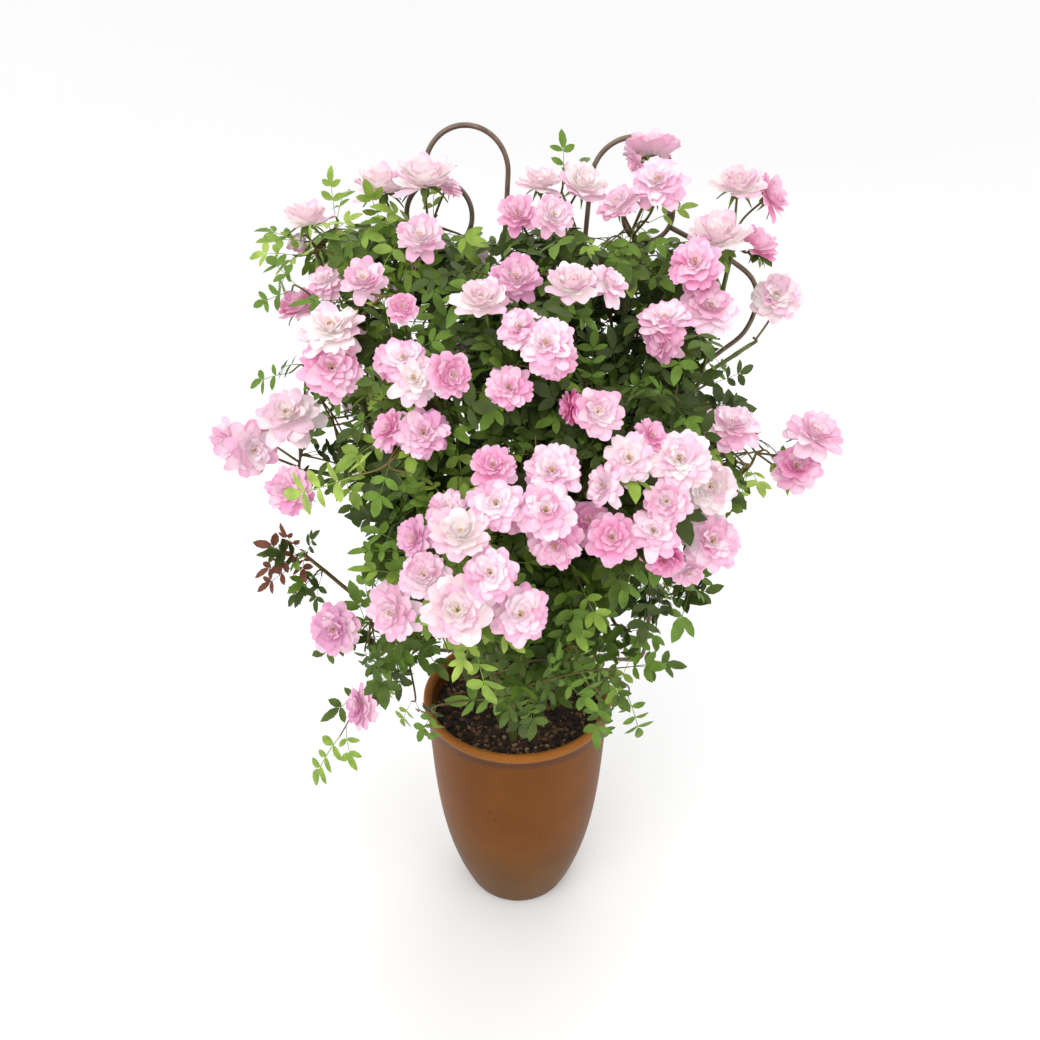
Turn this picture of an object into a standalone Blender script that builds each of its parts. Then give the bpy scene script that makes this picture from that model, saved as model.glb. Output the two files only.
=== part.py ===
# A shrub rose in a glazed pot, trained on a wire trellis, with clusters of full pink blooms.
# Metres, +Z up. The origin is the middle of the pot's flat underside and the front faces -Y.

import math
import random

import bmesh
import bpy
from mathutils import Matrix, Vector
from mathutils.bvhtree import BVHTree

GAP = 0.0003                # between pieces that touch
CLEARANCE = 0.0006          # between foliage and a limb or a rod
SPACE_MARGIN = 0.0010       # between a spray and the edge of its own space

# Pot and soil
POT_HEIGHT = 0.315
RIM_RADIUS = 0.120
LIP_HEIGHT = 0.013
LIP_ROUND = 0.003
WALL = 0.008
FLOOR = 0.012
BELLY = (0.116, 0.110, 0.114, 0.0705)   # radii that shape the wall, from the lip to the foot
FOOT_BEVEL = 0.002
SOIL_LEVEL = 0.290
POT_SEGMENTS = 30
WALL_STEPS = 6

# Trellis of bent rod, in its own plane: across from its middle line, and up from its lower bar
ROD_RADIUS = 0.0025
ROD_SIDES = 6
TRELLIS_FOOT = Vector((-0.004, 0.030, 0.348))
TRELLIS_LEAN = math.radians(3.6)
REAR_PLANE = 2 * ROD_RADIUS + GAP       # the hooped rods cross just behind the others
RAIL = 0.166
CORNER_ROUND = 0.014
BAR_END = 0.140
SCROLL = ((0.166, 0.360), (0.170, 0.385), (0.192, 0.408), (0.215, 0.432), (0.222, 0.462),
          (0.213, 0.486), (0.188, 0.503), (0.162, 0.514))
RINGS = {"left": ((0.105, 0.527), 0.032), "right": ((0.099, 0.540), 0.024)}   # middle and radius
HOOP_MIDDLE = (0.080, 0.568)
HOOP_RADIUS = 0.040
HOOP_END = 0.538
TOP_BAR = 0.505

# Canes: where each stands, passes and ends, and its radius at the soil and at its tip
CANES = {
    "cane_left": (((-0.045, 0.000, SOIL_LEVEL), (-0.095, -0.005, 0.44), (-0.140, -0.020, 0.60),
                   (-0.165, -0.030, 0.76)), 0.0060, 0.0032),
    "cane_left_inner": (((-0.020, -0.030, SOIL_LEVEL), (-0.040, -0.045, 0.46), (-0.070, -0.035, 0.66),
                         (-0.085, -0.015, 0.845)), 0.0055, 0.0028),
    "cane_middle": (((0.000, -0.005, SOIL_LEVEL), (0.008, -0.035, 0.46), (0.018, -0.040, 0.66),
                     (0.030, -0.020, 0.845)), 0.0060, 0.0028),
    "cane_right_inner": (((0.024, -0.025, SOIL_LEVEL), (0.058, -0.035, 0.46), (0.092, -0.035, 0.66),
                          (0.110, -0.010, 0.855)), 0.0055, 0.0028),
    "cane_right": (((0.048, 0.002, SOIL_LEVEL), (0.105, -0.010, 0.44), (0.155, -0.020, 0.60),
                    (0.180, -0.025, 0.765)), 0.0060, 0.0032),
    "cane_front": (((-0.005, -0.060, SOIL_LEVEL), (-0.010, -0.095, 0.41), (-0.028, -0.150, 0.52),
                    (-0.042, -0.190, 0.580)), 0.0050, 0.0030),
    "cane_back": (((0.000, 0.050, SOIL_LEVEL), (0.004, 0.080, 0.46), (0.000, 0.105, 0.60),
                   (0.000, 0.120, 0.700)), 0.0060, 0.0032),
}
CANE_SIDES = 6
CANE_STEPS = 6

# Boughs: the cane and the height along it where each leaves, and where it ends
BOUGHS = {
    "bough_far_top_left": ("cane_left", 0.93, (-0.190, -0.005, 0.845)),
    "bough_right_tip": ("cane_right", 0.88, (0.208, 0.000, 0.855)),
    "bough_right_outer": ("cane_right", 0.93, (0.234, -0.012, 0.764)),
    "bough_left_middle": ("cane_left_inner", 0.66, (-0.085, -0.110, 0.715)),
    "bough_right_middle": ("cane_right_inner", 0.66, (0.066, -0.115, 0.715)),
    "bough_far_left": ("cane_left", 0.70, (-0.212, -0.055, 0.645)),
    "bough_far_right": ("cane_right", 0.55, (0.232, -0.050, 0.640)),
    "bough_right_cluster": ("cane_right_inner", 0.42, (0.120, -0.130, 0.600)),
    "bough_middle_cluster": ("cane_middle", 0.48, (0.018, -0.150, 0.645)),
    "bough_back_left": ("cane_back", 0.55, (-0.150, 0.085, 0.640)),
    "bough_back_right": ("cane_back", 0.62, (0.160, 0.085, 0.640)),
}
BOUGH_SIDES = 5
BOUGH_STEPS = 4
BOUGH_TAPER = 0.62
BOUGH_TIP = 0.0022

# Sprays: each is a mass of twigs, leaves and blooms in a space of its own.
# root: its limb and the height along it. heart: where its stem ends. space: how far its space reaches.
# facing: the way its blooms look. blooms: place and width. shoots: tips of leafy twigs.
SPRAYS = {
    "spray_top_left": {
        "root": ("cane_left_inner", 1.0), "heart": (-0.085, -0.012, 0.880), "space": 0.050,
        "facing": (-0.15, -0.80, 0.60), "leaves": 5,
        "blooms": ((-0.125, 0.010, 0.915, 0.043), (-0.080, -0.020, 0.925, 0.047), (-0.085, -0.060, 0.875, 0.044)),
        "shoots": ()},
    "spray_far_top_left": {
        "root": ("bough_far_top_left", 1.0), "heart": (-0.195, 0.000, 0.868), "space": 0.045,
        "facing": (-0.35, -0.75, 0.60), "leaves": 4,
        "blooms": ((-0.195, -0.012, 0.887, 0.047),),
        "shoots": ((-0.255, 0.000, 0.880), (-0.165, 0.020, 0.915))},
    "spray_top_middle": {
        "root": ("cane_middle", 1.0), "heart": (0.032, -0.022, 0.880), "space": 0.045,
        "facing": (0.05, -0.75, 0.65), "leaves": 5,
        "blooms": ((0.000, -0.060, 0.895, 0.037), (0.030, -0.070, 0.895, 0.038), (0.055, -0.022, 0.915, 0.042)),
        "shoots": ()},
    "spray_top_right": {
        "root": ("cane_right_inner", 1.0), "heart": (0.112, -0.014, 0.890), "space": 0.050,
        "facing": (0.10, -0.55, 0.85), "leaves": 4,
        "blooms": ((0.120, -0.008, 0.940, 0.045),
                   (0.125, -0.050, 0.915, 0.047), (0.090, -0.050, 0.905, 0.040)),
        "shoots": ((0.165, -0.010, 0.935),)},
    "spray_right_tip": {
        "root": ("bough_right_tip", 1.0), "heart": (0.212, -0.002, 0.876), "space": 0.050,
        "facing": (0.25, -0.75, 0.60), "leaves": 4,
        "blooms": ((0.206, 0.000, 0.914, 0.051), (0.244, 0.010, 0.903, 0.044),
                   (0.183, -0.038, 0.874, 0.056), (0.228, -0.012, 0.863, 0.042)),
        "shoots": ((0.252, -0.010, 0.838),)},
    "spray_right_upper": {
        "root": ("cane_right", 1.0), "heart": (0.158, -0.045, 0.800), "space": 0.058,
        "facing": (0.10, -0.90, 0.45), "leaves": 5,
        "blooms": ((0.155, -0.080, 0.852, 0.049), (0.138, -0.070, 0.838, 0.045),
                   (0.178, -0.078, 0.820, 0.048), (0.134, -0.098, 0.815, 0.042),
                   (0.130, -0.105, 0.788, 0.042)),
        "shoots": ()},
    "spray_right_outer": {
        "root": ("bough_right_outer", 1.0), "heart": (0.248, -0.016, 0.776), "space": 0.052,
        "facing": (0.35, -0.85, 0.40), "leaves": 6,
        "blooms": ((0.255, -0.005, 0.810, 0.049),),
        "shoots": ((0.262, -0.040, 0.735),)},
    "spray_left_upper": {
        "root": ("cane_left", 1.0), "heart": (-0.165, -0.058, 0.798), "space": 0.060,
        "facing": (-0.20, -0.90, 0.40), "leaves": 4,
        "blooms": ((-0.132, -0.090, 0.845, 0.047), (-0.175, -0.052, 0.835, 0.040),
                   (-0.210, -0.042, 0.810, 0.040), (-0.162, -0.110, 0.805, 0.061),
                   (-0.162, -0.120, 0.770, 0.054)),
        "shoots": ((-0.229, -0.060, 0.819),)},
    "spray_middle_upper": {
        "root": ("cane_middle", 0.86), "heart": (0.016, -0.100, 0.828), "space": 0.052,
        "facing": (0.05, -0.90, 0.40), "leaves": 6,
        "blooms": ((-0.025, -0.138, 0.840, 0.044), (0.000, -0.120, 0.855, 0.041),
                   (0.045, -0.130, 0.848, 0.044), (0.078, -0.110, 0.848, 0.037)),
        "shoots": ()},
    "spray_centre": {
        "root": ("cane_middle", 0.74), "heart": (0.014, -0.120, 0.775), "space": 0.048,
        "facing": (0.05, -0.95, 0.30), "leaves": 7,
        "blooms": ((0.005, -0.170, 0.815, 0.041), (0.022, -0.180, 0.800, 0.044), (-0.004, -0.180, 0.770, 0.039)),
        "shoots": ()},
    "spray_left_middle": {
        "root": ("bough_left_middle", 1.0), "heart": (-0.085, -0.130, 0.748), "space": 0.060,
        "facing": (-0.10, -0.95, 0.30), "leaves": 7,
        "blooms": ((-0.085, -0.170, 0.785, 0.046), (-0.052, -0.178, 0.785, 0.040),
                   (-0.080, -0.180, 0.738, 0.046), (-0.108, -0.162, 0.730, 0.038)),
        "shoots": ()},
    "spray_right_middle": {
        "root": ("bough_right_middle", 1.0), "heart": (0.064, -0.132, 0.742), "space": 0.046,
        "facing": (0.10, -0.95, 0.30), "leaves": 8,
        "blooms": ((0.066, -0.178, 0.755, 0.046),),
        "shoots": ()},
    "spray_far_left": {
        "root": ("bough_far_left", 1.0), "heart": (-0.232, -0.065, 0.665), "space": 0.062,
        "facing": (-0.45, -0.80, 0.35), "leaves": 5,
        "blooms": ((-0.215, -0.090, 0.720, 0.060), (-0.285, -0.070, 0.682, 0.045),
                   (-0.248, -0.102, 0.686, 0.052), (-0.216, -0.120, 0.654, 0.047)),
        "shoots": ((-0.268, -0.045, 0.738), (-0.270, -0.060, 0.610))},
    "spray_far_right": {
        "root": ("bough_far_right", 1.0), "heart": (0.258, -0.055, 0.665), "space": 0.062,
        "facing": (0.45, -0.80, 0.35), "leaves": 5,
        "blooms": ((0.305, -0.042, 0.681, 0.060), (0.286, -0.052, 0.648, 0.050),
                   (0.203, -0.098, 0.710, 0.053)),
        "shoots": ((0.232, -0.060, 0.640), (0.330, -0.010, 0.630))},
    "spray_right_cluster": {
        "root": ("bough_right_cluster", 1.0), "heart": (0.128, -0.158, 0.650), "space": 0.078,
        "facing": (0.20, -0.90, 0.40), "leaves": 5,
        "blooms": ((0.095, -0.190, 0.722, 0.045),
                   (0.137, -0.190, 0.715, 0.048), (0.172, -0.170, 0.680, 0.051), (0.117, -0.220, 0.662, 0.049),
                   (0.180, -0.178, 0.635, 0.050), (0.135, -0.200, 0.625, 0.040), (0.082, -0.218, 0.655, 0.048)),
        "shoots": ()},
    "spray_middle_cluster": {
        "root": ("bough_middle_cluster", 1.0), "heart": (0.020, -0.172, 0.680), "space": 0.062,
        "facing": (0.05, -0.90, 0.40), "leaves": 6,
        "blooms": ((0.030, -0.200, 0.715, 0.049), (-0.015, -0.200, 0.717, 0.038),
                   (-0.014, -0.230, 0.697, 0.046), (0.028, -0.230, 0.685, 0.047), (0.032, -0.220, 0.650, 0.040)),
        "shoots": ()},
    "spray_front_cluster": {
        "root": ("cane_front", 1.0), "heart": (-0.045, -0.212, 0.625), "space": 0.072,
        "facing": (-0.10, -0.88, 0.45), "leaves": 5,
        "blooms": ((-0.042, -0.250, 0.668, 0.049), (-0.072, -0.250, 0.640, 0.047),
                   (-0.018, -0.268, 0.655, 0.047), (-0.045, -0.280, 0.622, 0.063),
                   (0.005, -0.260, 0.612, 0.054), (-0.105, -0.230, 0.588, 0.050),
                   (-0.085, -0.220, 0.662, 0.037)),
        "shoots": ()},
    "spray_left_low": {
        "root": ("cane_left", 0.32), "heart": (-0.165, -0.095, 0.475), "space": 0.080,
        "facing": (-0.45, -0.85, 0.20), "leaves": 4,
        "blooms": ((-0.180, -0.150, 0.512, 0.056), (-0.171, -0.130, 0.400, 0.046)),
        "shoots": ((-0.240, -0.100, 0.252), (-0.140, -0.105, 0.365), (-0.225, -0.090, 0.430))},
    "spray_left_shoot": {
        "root": ("cane_left", 0.38), "heart": (-0.212, -0.042, 0.512), "space": 0.055,
        "facing": (-0.70, -0.60, 0.30), "leaves": 5,
        "blooms": (),
        "shoots": ((-0.286, -0.050, 0.514), (-0.250, -0.045, 0.568))},
    "spray_over_pot": {
        "root": ("cane_front", 0.30), "heart": (0.040, -0.135, 0.460), "space": 0.075,
        "facing": (0.10, -0.90, 0.30), "leaves": 6,
        "blooms": (),
        "shoots": ((0.010, -0.180, 0.401), (0.075, -0.160, 0.520),
                   (0.140, -0.130, 0.365), (0.096, -0.140, 0.372))},
    "spray_right_low": {
        "root": ("cane_right", 0.34), "heart": (0.165, -0.075, 0.490), "space": 0.075,
        "facing": (0.50, -0.80, 0.20), "leaves": 8,
        "blooms": (),
        "shoots": ((0.222, -0.085, 0.520), (0.163, -0.122, 0.390))},
    "spray_inner_left": {
        "root": ("cane_left_inner", 0.44), "heart": (-0.085, -0.075, 0.600), "space": 0.075,
        "facing": (-0.30, -0.90, 0.20), "leaves": 10,
        "blooms": (),
        "shoots": ()},
    "spray_inner_middle": {
        "root": ("cane_middle", 0.34), "heart": (0.022, -0.088, 0.550), "space": 0.085,
        "facing": (0.00, -0.90, 0.20), "leaves": 10,
        "blooms": (),
        "shoots": ()},
    "spray_inner_right": {
        "root": ("cane_right_inner", 0.60), "heart": (0.120, -0.070, 0.690), "space": 0.070,
        "facing": (0.30, -0.90, 0.20), "leaves": 10,
        "blooms": (),
        "shoots": ()},
    "spray_inner_back": {
        "root": ("cane_middle", 0.60), "heart": (0.008, 0.062, 0.720), "space": 0.085,
        "facing": (0.00, 0.60, 0.60), "leaves": 9,
        "blooms": (),
        "shoots": ()},
    "spray_back_top_left": {
        "root": ("cane_left_inner", 0.84), "heart": (-0.075, 0.085, 0.835), "space": 0.070,
        "facing": (-0.30, 0.70, 0.65), "leaves": 4,
        "blooms": ((-0.105, 0.110, 0.825, 0.048), (-0.050, 0.110, 0.832, 0.045),
                   (-0.130, 0.085, 0.800, 0.044), (-0.080, 0.145, 0.795, 0.050)),
        "shoots": ((-0.180, 0.090, 0.860),)},
    "spray_back_top_right": {
        "root": ("cane_right_inner", 0.84), "heart": (0.105, 0.090, 0.825), "space": 0.070,
        "facing": (0.30, 0.70, 0.65), "leaves": 4,
        "blooms": ((0.070, 0.110, 0.827, 0.046), (0.125, 0.105, 0.824, 0.050),
                   (0.160, 0.085, 0.800, 0.044), (0.110, 0.145, 0.790, 0.050)),
        "shoots": ((0.215, 0.090, 0.850),)},
    "spray_back_left": {
        "root": ("bough_back_left", 1.0), "heart": (-0.190, 0.080, 0.675), "space": 0.080,
        "facing": (-0.75, 0.50, 0.45), "leaves": 4,
        "blooms": ((-0.200, 0.080, 0.745, 0.050), (-0.256, 0.060, 0.666, 0.052),
                   (-0.230, 0.125, 0.700, 0.050), (-0.190, 0.140, 0.660, 0.054)),
        "shoots": ((-0.300, 0.070, 0.620), (-0.180, 0.090, 0.780))},
    "spray_back_right": {
        "root": ("bough_back_right", 1.0), "heart": (0.205, 0.080, 0.675), "space": 0.080,
        "facing": (0.75, 0.50, 0.45), "leaves": 4,
        "blooms": ((0.197, 0.075, 0.780, 0.050), (0.238, 0.055, 0.648, 0.052),
                   (0.190, 0.130, 0.705, 0.050), (0.200, 0.140, 0.655, 0.054)),
        "shoots": ((0.310, 0.065, 0.620), (0.200, 0.080, 0.780))},
    "spray_back_middle": {
        "root": ("cane_back", 1.0), "heart": (0.000, 0.150, 0.725), "space": 0.075,
        "facing": (0.00, 0.90, 0.45), "leaves": 6,
        "blooms": ((-0.045, 0.180, 0.775, 0.050), (0.015, 0.190, 0.785, 0.048),
                   (-0.015, 0.205, 0.735, 0.056), (0.020, 0.205, 0.690, 0.046)),
        "shoots": ((0.000, 0.235, 0.640),)},
    "spray_back_low_left": {
        "root": ("cane_back", 0.32), "heart": (-0.110, 0.120, 0.500), "space": 0.080,
        "facing": (-0.50, 0.80, 0.25), "leaves": 6,
        "blooms": ((-0.120, 0.175, 0.560, 0.050), (-0.165, 0.155, 0.530, 0.046)),
        "shoots": ((-0.190, 0.120, 0.420), (-0.090, 0.170, 0.390))},
    "spray_back_low_right": {
        "root": ("cane_back", 0.40), "heart": (0.115, 0.120, 0.515), "space": 0.080,
        "facing": (0.50, 0.80, 0.25), "leaves": 6,
        "blooms": ((0.115, 0.175, 0.580, 0.050), (0.165, 0.155, 0.545, 0.046)),
        "shoots": ((0.200, 0.110, 0.430), (0.100, 0.175, 0.410))},
}
# The crown's outline, which leaves set by chance keep to
CROWN_MIDDLE = Vector((0.010, -0.015, 0.670))
CROWN_REACH = Vector((0.325, 0.275, 0.360))
CROWN_TOP = 0.955
STEM_RADIUS = 0.0026
TWIG_RADIUS = 0.0016
RACHIS_RADIUS = 0.0014
TWIG_SIDES = 3
STEM_STEPS = 2
FACE_PIVOT = 0.075          # blooms of a spray look away from a point this far behind its heart
BLOOM_LOBES = 5
LEAFLET_LENGTH = 0.047
LEAFLET_WIDTH = 0.58        # of its length
LEAFLET_ANGLE = math.radians(62)
LEAF_STALK = 0.060          # from the twig to the root of the leaf's last leaflet
PAIR_PLACES = (0.46, 0.92)  # where its pairs of leaflets stand
PAIR_ROOT = 0.0022          # half the width of a leaflet where it joins the stalk
STALK_HALF = 0.0012         # half the width of a leaf's stalk
STALK_RIDGE = 0.0018        # height of its ridge over its flat underside
LEAFLET_DROOP = 0.003
SHOOT_FOOT = 0.004          # least length of a shoot's twig
SHOOT_SPACING = 0.060
CHANCE_SIZE = (0.90, 1.20)  # of the leaves that fill the crown
TRIES_PER_LEAF = 90
FLAT_ANGLE = math.radians(0.5)
SHORT_EDGE = 0.0010
KEPT_TURN = 0.3             # how far a face may turn as a short edge closes: least cosine

# Colours from 0 to 255
GLAZE = (123, 77, 39)
SOIL_BROWN = (41, 30, 20)
ROD_GREY = (112, 98, 84)
CANE_GREEN = (92, 98, 48)
PINK_GREEN = (214, 150, 178)
UP = Vector((0.0, 0.0, 1.0))


def clear_scene():
    for item in list(bpy.data.objects):
        bpy.data.objects.remove(item, do_unlink=True)


def make_material(name, colour, roughness, metallic=0.0):
    made = bpy.data.materials.new(name)
    made.use_nodes = True
    shader = made.node_tree.nodes["Principled BSDF"]
    linear = [(channel / 255) ** 2.2 for channel in colour]
    shader.inputs["Base Color"].default_value = (*linear, 1.0)
    shader.inputs["Roughness"].default_value = roughness
    shader.inputs["Metallic"].default_value = metallic
    return made


def to_mesh(name, bm):
    mesh = bpy.data.meshes.new(name)
    bm.to_mesh(mesh)
    bm.free()
    return mesh


def place(name, mesh, material, smooth=True):
    item = bpy.data.objects.new(name, mesh)
    mesh.materials.clear()
    mesh.materials.append(material)
    if smooth:
        mesh.shade_smooth()
        mesh.set_sharp_from_angle(angle=math.radians(40))
    bpy.context.collection.objects.link(item)
    return item


# Round pieces

def turned(profile):
    """A solid turned round the Z axis from (radius, height) points that start and end on it."""
    bm = bmesh.new()
    corners = [bm.verts.new((radius, 0.0, height)) for radius, height in profile]
    edges = [bm.edges.new(pair) for pair in zip(corners, corners[1:])]
    bmesh.ops.spin(bm, geom=corners + edges, cent=(0, 0, 0), axis=(0, 0, 1), dvec=(0, 0, 0),
                   angle=math.tau, steps=POT_SEGMENTS, use_merge=True, use_duplicate=False)
    bmesh.ops.remove_doubles(bm, verts=bm.verts, dist=0.00001)
    bmesh.ops.recalc_face_normals(bm, faces=bm.faces)
    return bm


def wall_radius(height):
    """Outer radius of the pot's wall at a height, from the foot to the underside of the lip."""
    depth = 1 - height / (POT_HEIGHT - LIP_HEIGHT)
    lip, upper, lower, foot = BELLY
    rest = 1 - depth
    return (lip * rest ** 3 + 3 * upper * rest ** 2 * depth
            + 3 * lower * rest * depth ** 2 + foot * depth ** 3)


def wall_heights(steps, bottom, top):
    """Heights that crowd towards the foot, where the wall curves most."""
    return [bottom + (top - bottom) * (step / steps) ** 1.35 for step in range(steps + 1)]


def inner_wall():
    """The inner side of the wall as (radius, height) points, from the floor to the lip."""
    heights = wall_heights(WALL_STEPS, FLOOR, POT_HEIGHT - LIP_HEIGHT)
    return [(wall_radius(height) - WALL, height) for height in heights]


def build_pot(material):
    under_lip = POT_HEIGHT - LIP_HEIGHT
    profile = [(0.0, 0.0), (BELLY[3] - FOOT_BEVEL, 0.0)]
    profile += [(wall_radius(z), z) for z in wall_heights(WALL_STEPS, FOOT_BEVEL, under_lip)]
    profile += [(RIM_RADIUS - LIP_ROUND / 2, under_lip), (RIM_RADIUS, under_lip + LIP_ROUND),
                (RIM_RADIUS, POT_HEIGHT - LIP_ROUND), (RIM_RADIUS - LIP_ROUND, POT_HEIGHT),
                (RIM_RADIUS - WALL, POT_HEIGHT)]
    profile += reversed(inner_wall())
    profile.append((0.0, FLOOR))
    place("pot", to_mesh("pot", turned(profile)), material)


def build_soil(material):
    profile = [(0.0, FLOOR + GAP)]
    wall = inner_wall()
    for (low_radius, low), (high_radius, high) in zip(wall, wall[1:]):
        profile.append((low_radius - 2 * GAP, max(low, FLOOR + GAP)))
        if high > SOIL_LEVEL:
            share = (SOIL_LEVEL - low) / (high - low)
            top_radius = low_radius + share * (high_radius - low_radius)
            profile.append((top_radius - 2 * GAP, SOIL_LEVEL))
            break
    profile.append((0.0, SOIL_LEVEL))
    place("soil", to_mesh("soil", turned(profile)), material)


# Rods, canes and twigs

def curve_through(points, steps):
    """Points along a smooth curve that passes through the given ones."""
    ends = [points[0] * 2 - points[1]] + list(points) + [points[-1] * 2 - points[-2]]
    spans = len(points) - 1
    curve = []
    for step in range(steps + 1):
        place_on = min(step * spans / steps, spans - 1e-6)
        index = int(place_on)
        t = place_on - index
        a, b, c, d = ends[index:index + 4]
        curve.append(0.5 * (2 * b + (c - a) * t + (2 * a - 5 * b + 4 * c - d) * t * t
                            + (3 * b - a - 3 * c + d) * t ** 3))
    return curve


def directions(path, closed=False):
    """The way a path runs at each of its points."""
    count = len(path)
    found = []
    for i in range(count):
        before = path[i - 1] if closed or i else path[0]
        after = path[(i + 1) % count] if closed or i < count - 1 else path[-1]
        found.append((after - before).normalized())
    return found


def add_tube(bm, path, radii, sides, side_way=UP, closed=False, first_way=None):
    """A closed tube along a path, with a corner of each ring on the side_way side."""
    ways = directions(path, closed)
    if first_way is not None:
        ways[0] = first_way.normalized()
    across = side_way - side_way.project(ways[0])
    if across.length < 0.1:
        across = ways[0].orthogonal()
    rings = []
    for point, way, radius in zip(path, ways, radii):
        across = (across - across.project(way)).normalized()
        other = way.cross(across)
        turns = [math.tau * side / sides for side in range(sides)]
        rings.append([bm.verts.new(point + radius * (math.cos(a) * across + math.sin(a) * other))
                      for a in turns])
    pairs = list(zip(rings, rings[1:]))
    if closed:
        pairs.append((rings[-1], rings[0]))
    for low, high in pairs:
        for side in range(sides):
            after = (side + 1) % sides
            bm.faces.new((low[side], low[after], high[after], high[side]))
    if not closed:
        bm.faces.new(reversed(rings[0]))
        bm.faces.new(rings[-1])


def tapered(path, first, last):
    count = len(path) - 1
    return [first + (last - first) * i / count for i in range(count + 1)]


def arc(middle, radius, start, end, steps):
    """Points of a circle's arc in the trellis's plane, angles in degrees from straight across."""
    angles = [math.radians(start + (end - start) * i / steps) for i in range(steps + 1)]
    return [(middle[0] + radius * math.cos(a), middle[1] + radius * math.sin(a)) for a in angles]


def trellis_point(across, up, back=0.0):
    """From the trellis's own plane to the world: it stands upright and leans to the right."""
    turned_across = across * math.cos(TRELLIS_LEAN) + up * math.sin(TRELLIS_LEAN)
    turned_up = up * math.cos(TRELLIS_LEAN) - across * math.sin(TRELLIS_LEAN)
    return TRELLIS_FOOT + Vector((turned_across, back, turned_up))


def side_rod(hand, ring):
    """A rail with its lower corner, and the scroll that ends square to the ring's edge."""
    corner = arc((RAIL - CORNER_ROUND, CORNER_ROUND), CORNER_ROUND, -90, 0, 3)
    bend = [Vector((across, 0.0, up)) for across, up in SCROLL]
    scroll = [(point.x, point.z) for point in curve_through(bend, 9)]
    middle = Vector(ring[0])
    end = middle + (Vector(SCROLL[-1]) - middle).normalized() * (ring[1] + ROD_RADIUS + GAP)
    flat = [(BAR_END, 0.0)] + corner + scroll + [tuple(end)]
    return [trellis_point(hand * across, up) for across, up in flat]


def hoop_rod(hand):
    """A leg that stands on the soil and bends over at the top in a half circle."""
    inner = HOOP_MIDDLE[0] - HOOP_RADIUS
    foot = SOIL_LEVEL + GAP + ROD_RADIUS * math.sin(TRELLIS_LEAN)
    foot_up = (foot - TRELLIS_FOOT.z) / math.cos(TRELLIS_LEAN)
    flat = [(inner, foot_up + hand * inner * math.tan(TRELLIS_LEAN))]
    flat += arc(HOOP_MIDDLE, HOOP_RADIUS, 180, 0, 9)
    flat.append((HOOP_MIDDLE[0] + HOOP_RADIUS, HOOP_END))
    return [trellis_point(hand * across, up, REAR_PLANE) for across, up in flat]


def trellis_rods():
    """The path of each rod by its name, and whether it closes on itself."""
    leg = HOOP_MIDDLE[0] - HOOP_RADIUS
    bar_reach = BAR_END - GAP
    rods = {
        "trellis_lower_bar": ([trellis_point(-bar_reach, 0), trellis_point(bar_reach, 0)], False),
        "trellis_upper_bar": ([trellis_point(-leg - ROD_RADIUS, TOP_BAR),
                               trellis_point(leg + ROD_RADIUS, TOP_BAR)], False)}
    for word, hand in (("left", -1), ("right", 1)):
        ring = arc(*RINGS[word], 0, 337.5, 15)
        rods["trellis_side_" + word] = (side_rod(hand, RINGS[word]), False)
        rods["trellis_hoop_" + word] = (hoop_rod(hand), False)
        rods["trellis_ring_" + word] = ([trellis_point(hand * a, up) for a, up in ring], True)
    return rods


def build_trellis(material, guard):
    for name, (path, closed) in trellis_rods().items():
        bm = bmesh.new()
        add_tube(bm, path, [ROD_RADIUS] * len(path), ROD_SIDES, Vector((0, 1, 0)), closed)
        bmesh.ops.recalc_face_normals(bm, faces=bm.faces)
        place(name, to_mesh(name, bm), material)
        add_tube(guard, path, [ROD_RADIUS + CLEARANCE] * len(path), ROD_SIDES, Vector((0, 1, 0)), closed)


class Limb:
    """A tapering cane or bough: a path with a radius at each point."""

    def __init__(self, path, first, last):
        self.path = path
        self.radii = tapered(path, first, last)

    def at(self, share):
        """Place, direction and radius at a share of the way along."""
        spot = share * (len(self.path) - 1)
        index = min(int(spot), len(self.path) - 2)
        t = spot - index
        way = (self.path[index + 1] - self.path[index]).normalized()
        radius = self.radii[index] * (1 - t) + self.radii[index + 1] * t
        return self.path[index].lerp(self.path[index + 1], t), way, radius

    def foothold(self, share, target):
        """Where a side limb or stem starts, a gap off this one, and the way it sets off."""
        spot, way, radius = self.at(share)
        if share >= 1.0:
            return spot + way * GAP, way
        outward = target - spot
        outward = (outward - outward.project(way)).normalized()
        return spot + outward * (radius + GAP), outward


def build_limbs(material, guard):
    limbs = {}
    for name, (points, first, last) in CANES.items():
        corners = [Vector(point) for point in points]
        corners[0].z += GAP
        limbs[name] = Limb(curve_through(corners, CANE_STEPS), first, last)
        build_limb(name, limbs[name], CANE_SIDES, UP, material, guard)
    for name, (carrier, share, end) in BOUGHS.items():
        target = Vector(end)
        start, way = limbs[carrier].foothold(share, target)
        reach = (target - start).length
        via = start + way * reach * 0.25 + UP * reach * 0.15
        first = limbs[carrier].at(share)[2] * BOUGH_TAPER
        path = [start] + curve_through([start + way * 0.004, via, target], BOUGH_STEPS)
        limbs[name] = Limb(path, first, BOUGH_TIP)
        build_limb(name, limbs[name], BOUGH_SIDES, way, material, guard)
    return limbs


def build_limb(name, limb, sides, first_way, material, guard):
    bm = bmesh.new()
    add_tube(bm, limb.path, limb.radii, sides, Vector((0, 1, 0)), first_way=first_way)
    bmesh.ops.recalc_face_normals(bm, faces=bm.faces)
    place(name, to_mesh(name, bm), material)
    wider = [radius + CLEARANCE for radius in limb.radii]
    add_tube(guard, limb.path, wider, sides, Vector((0, 1, 0)), first_way=first_way)


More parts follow.
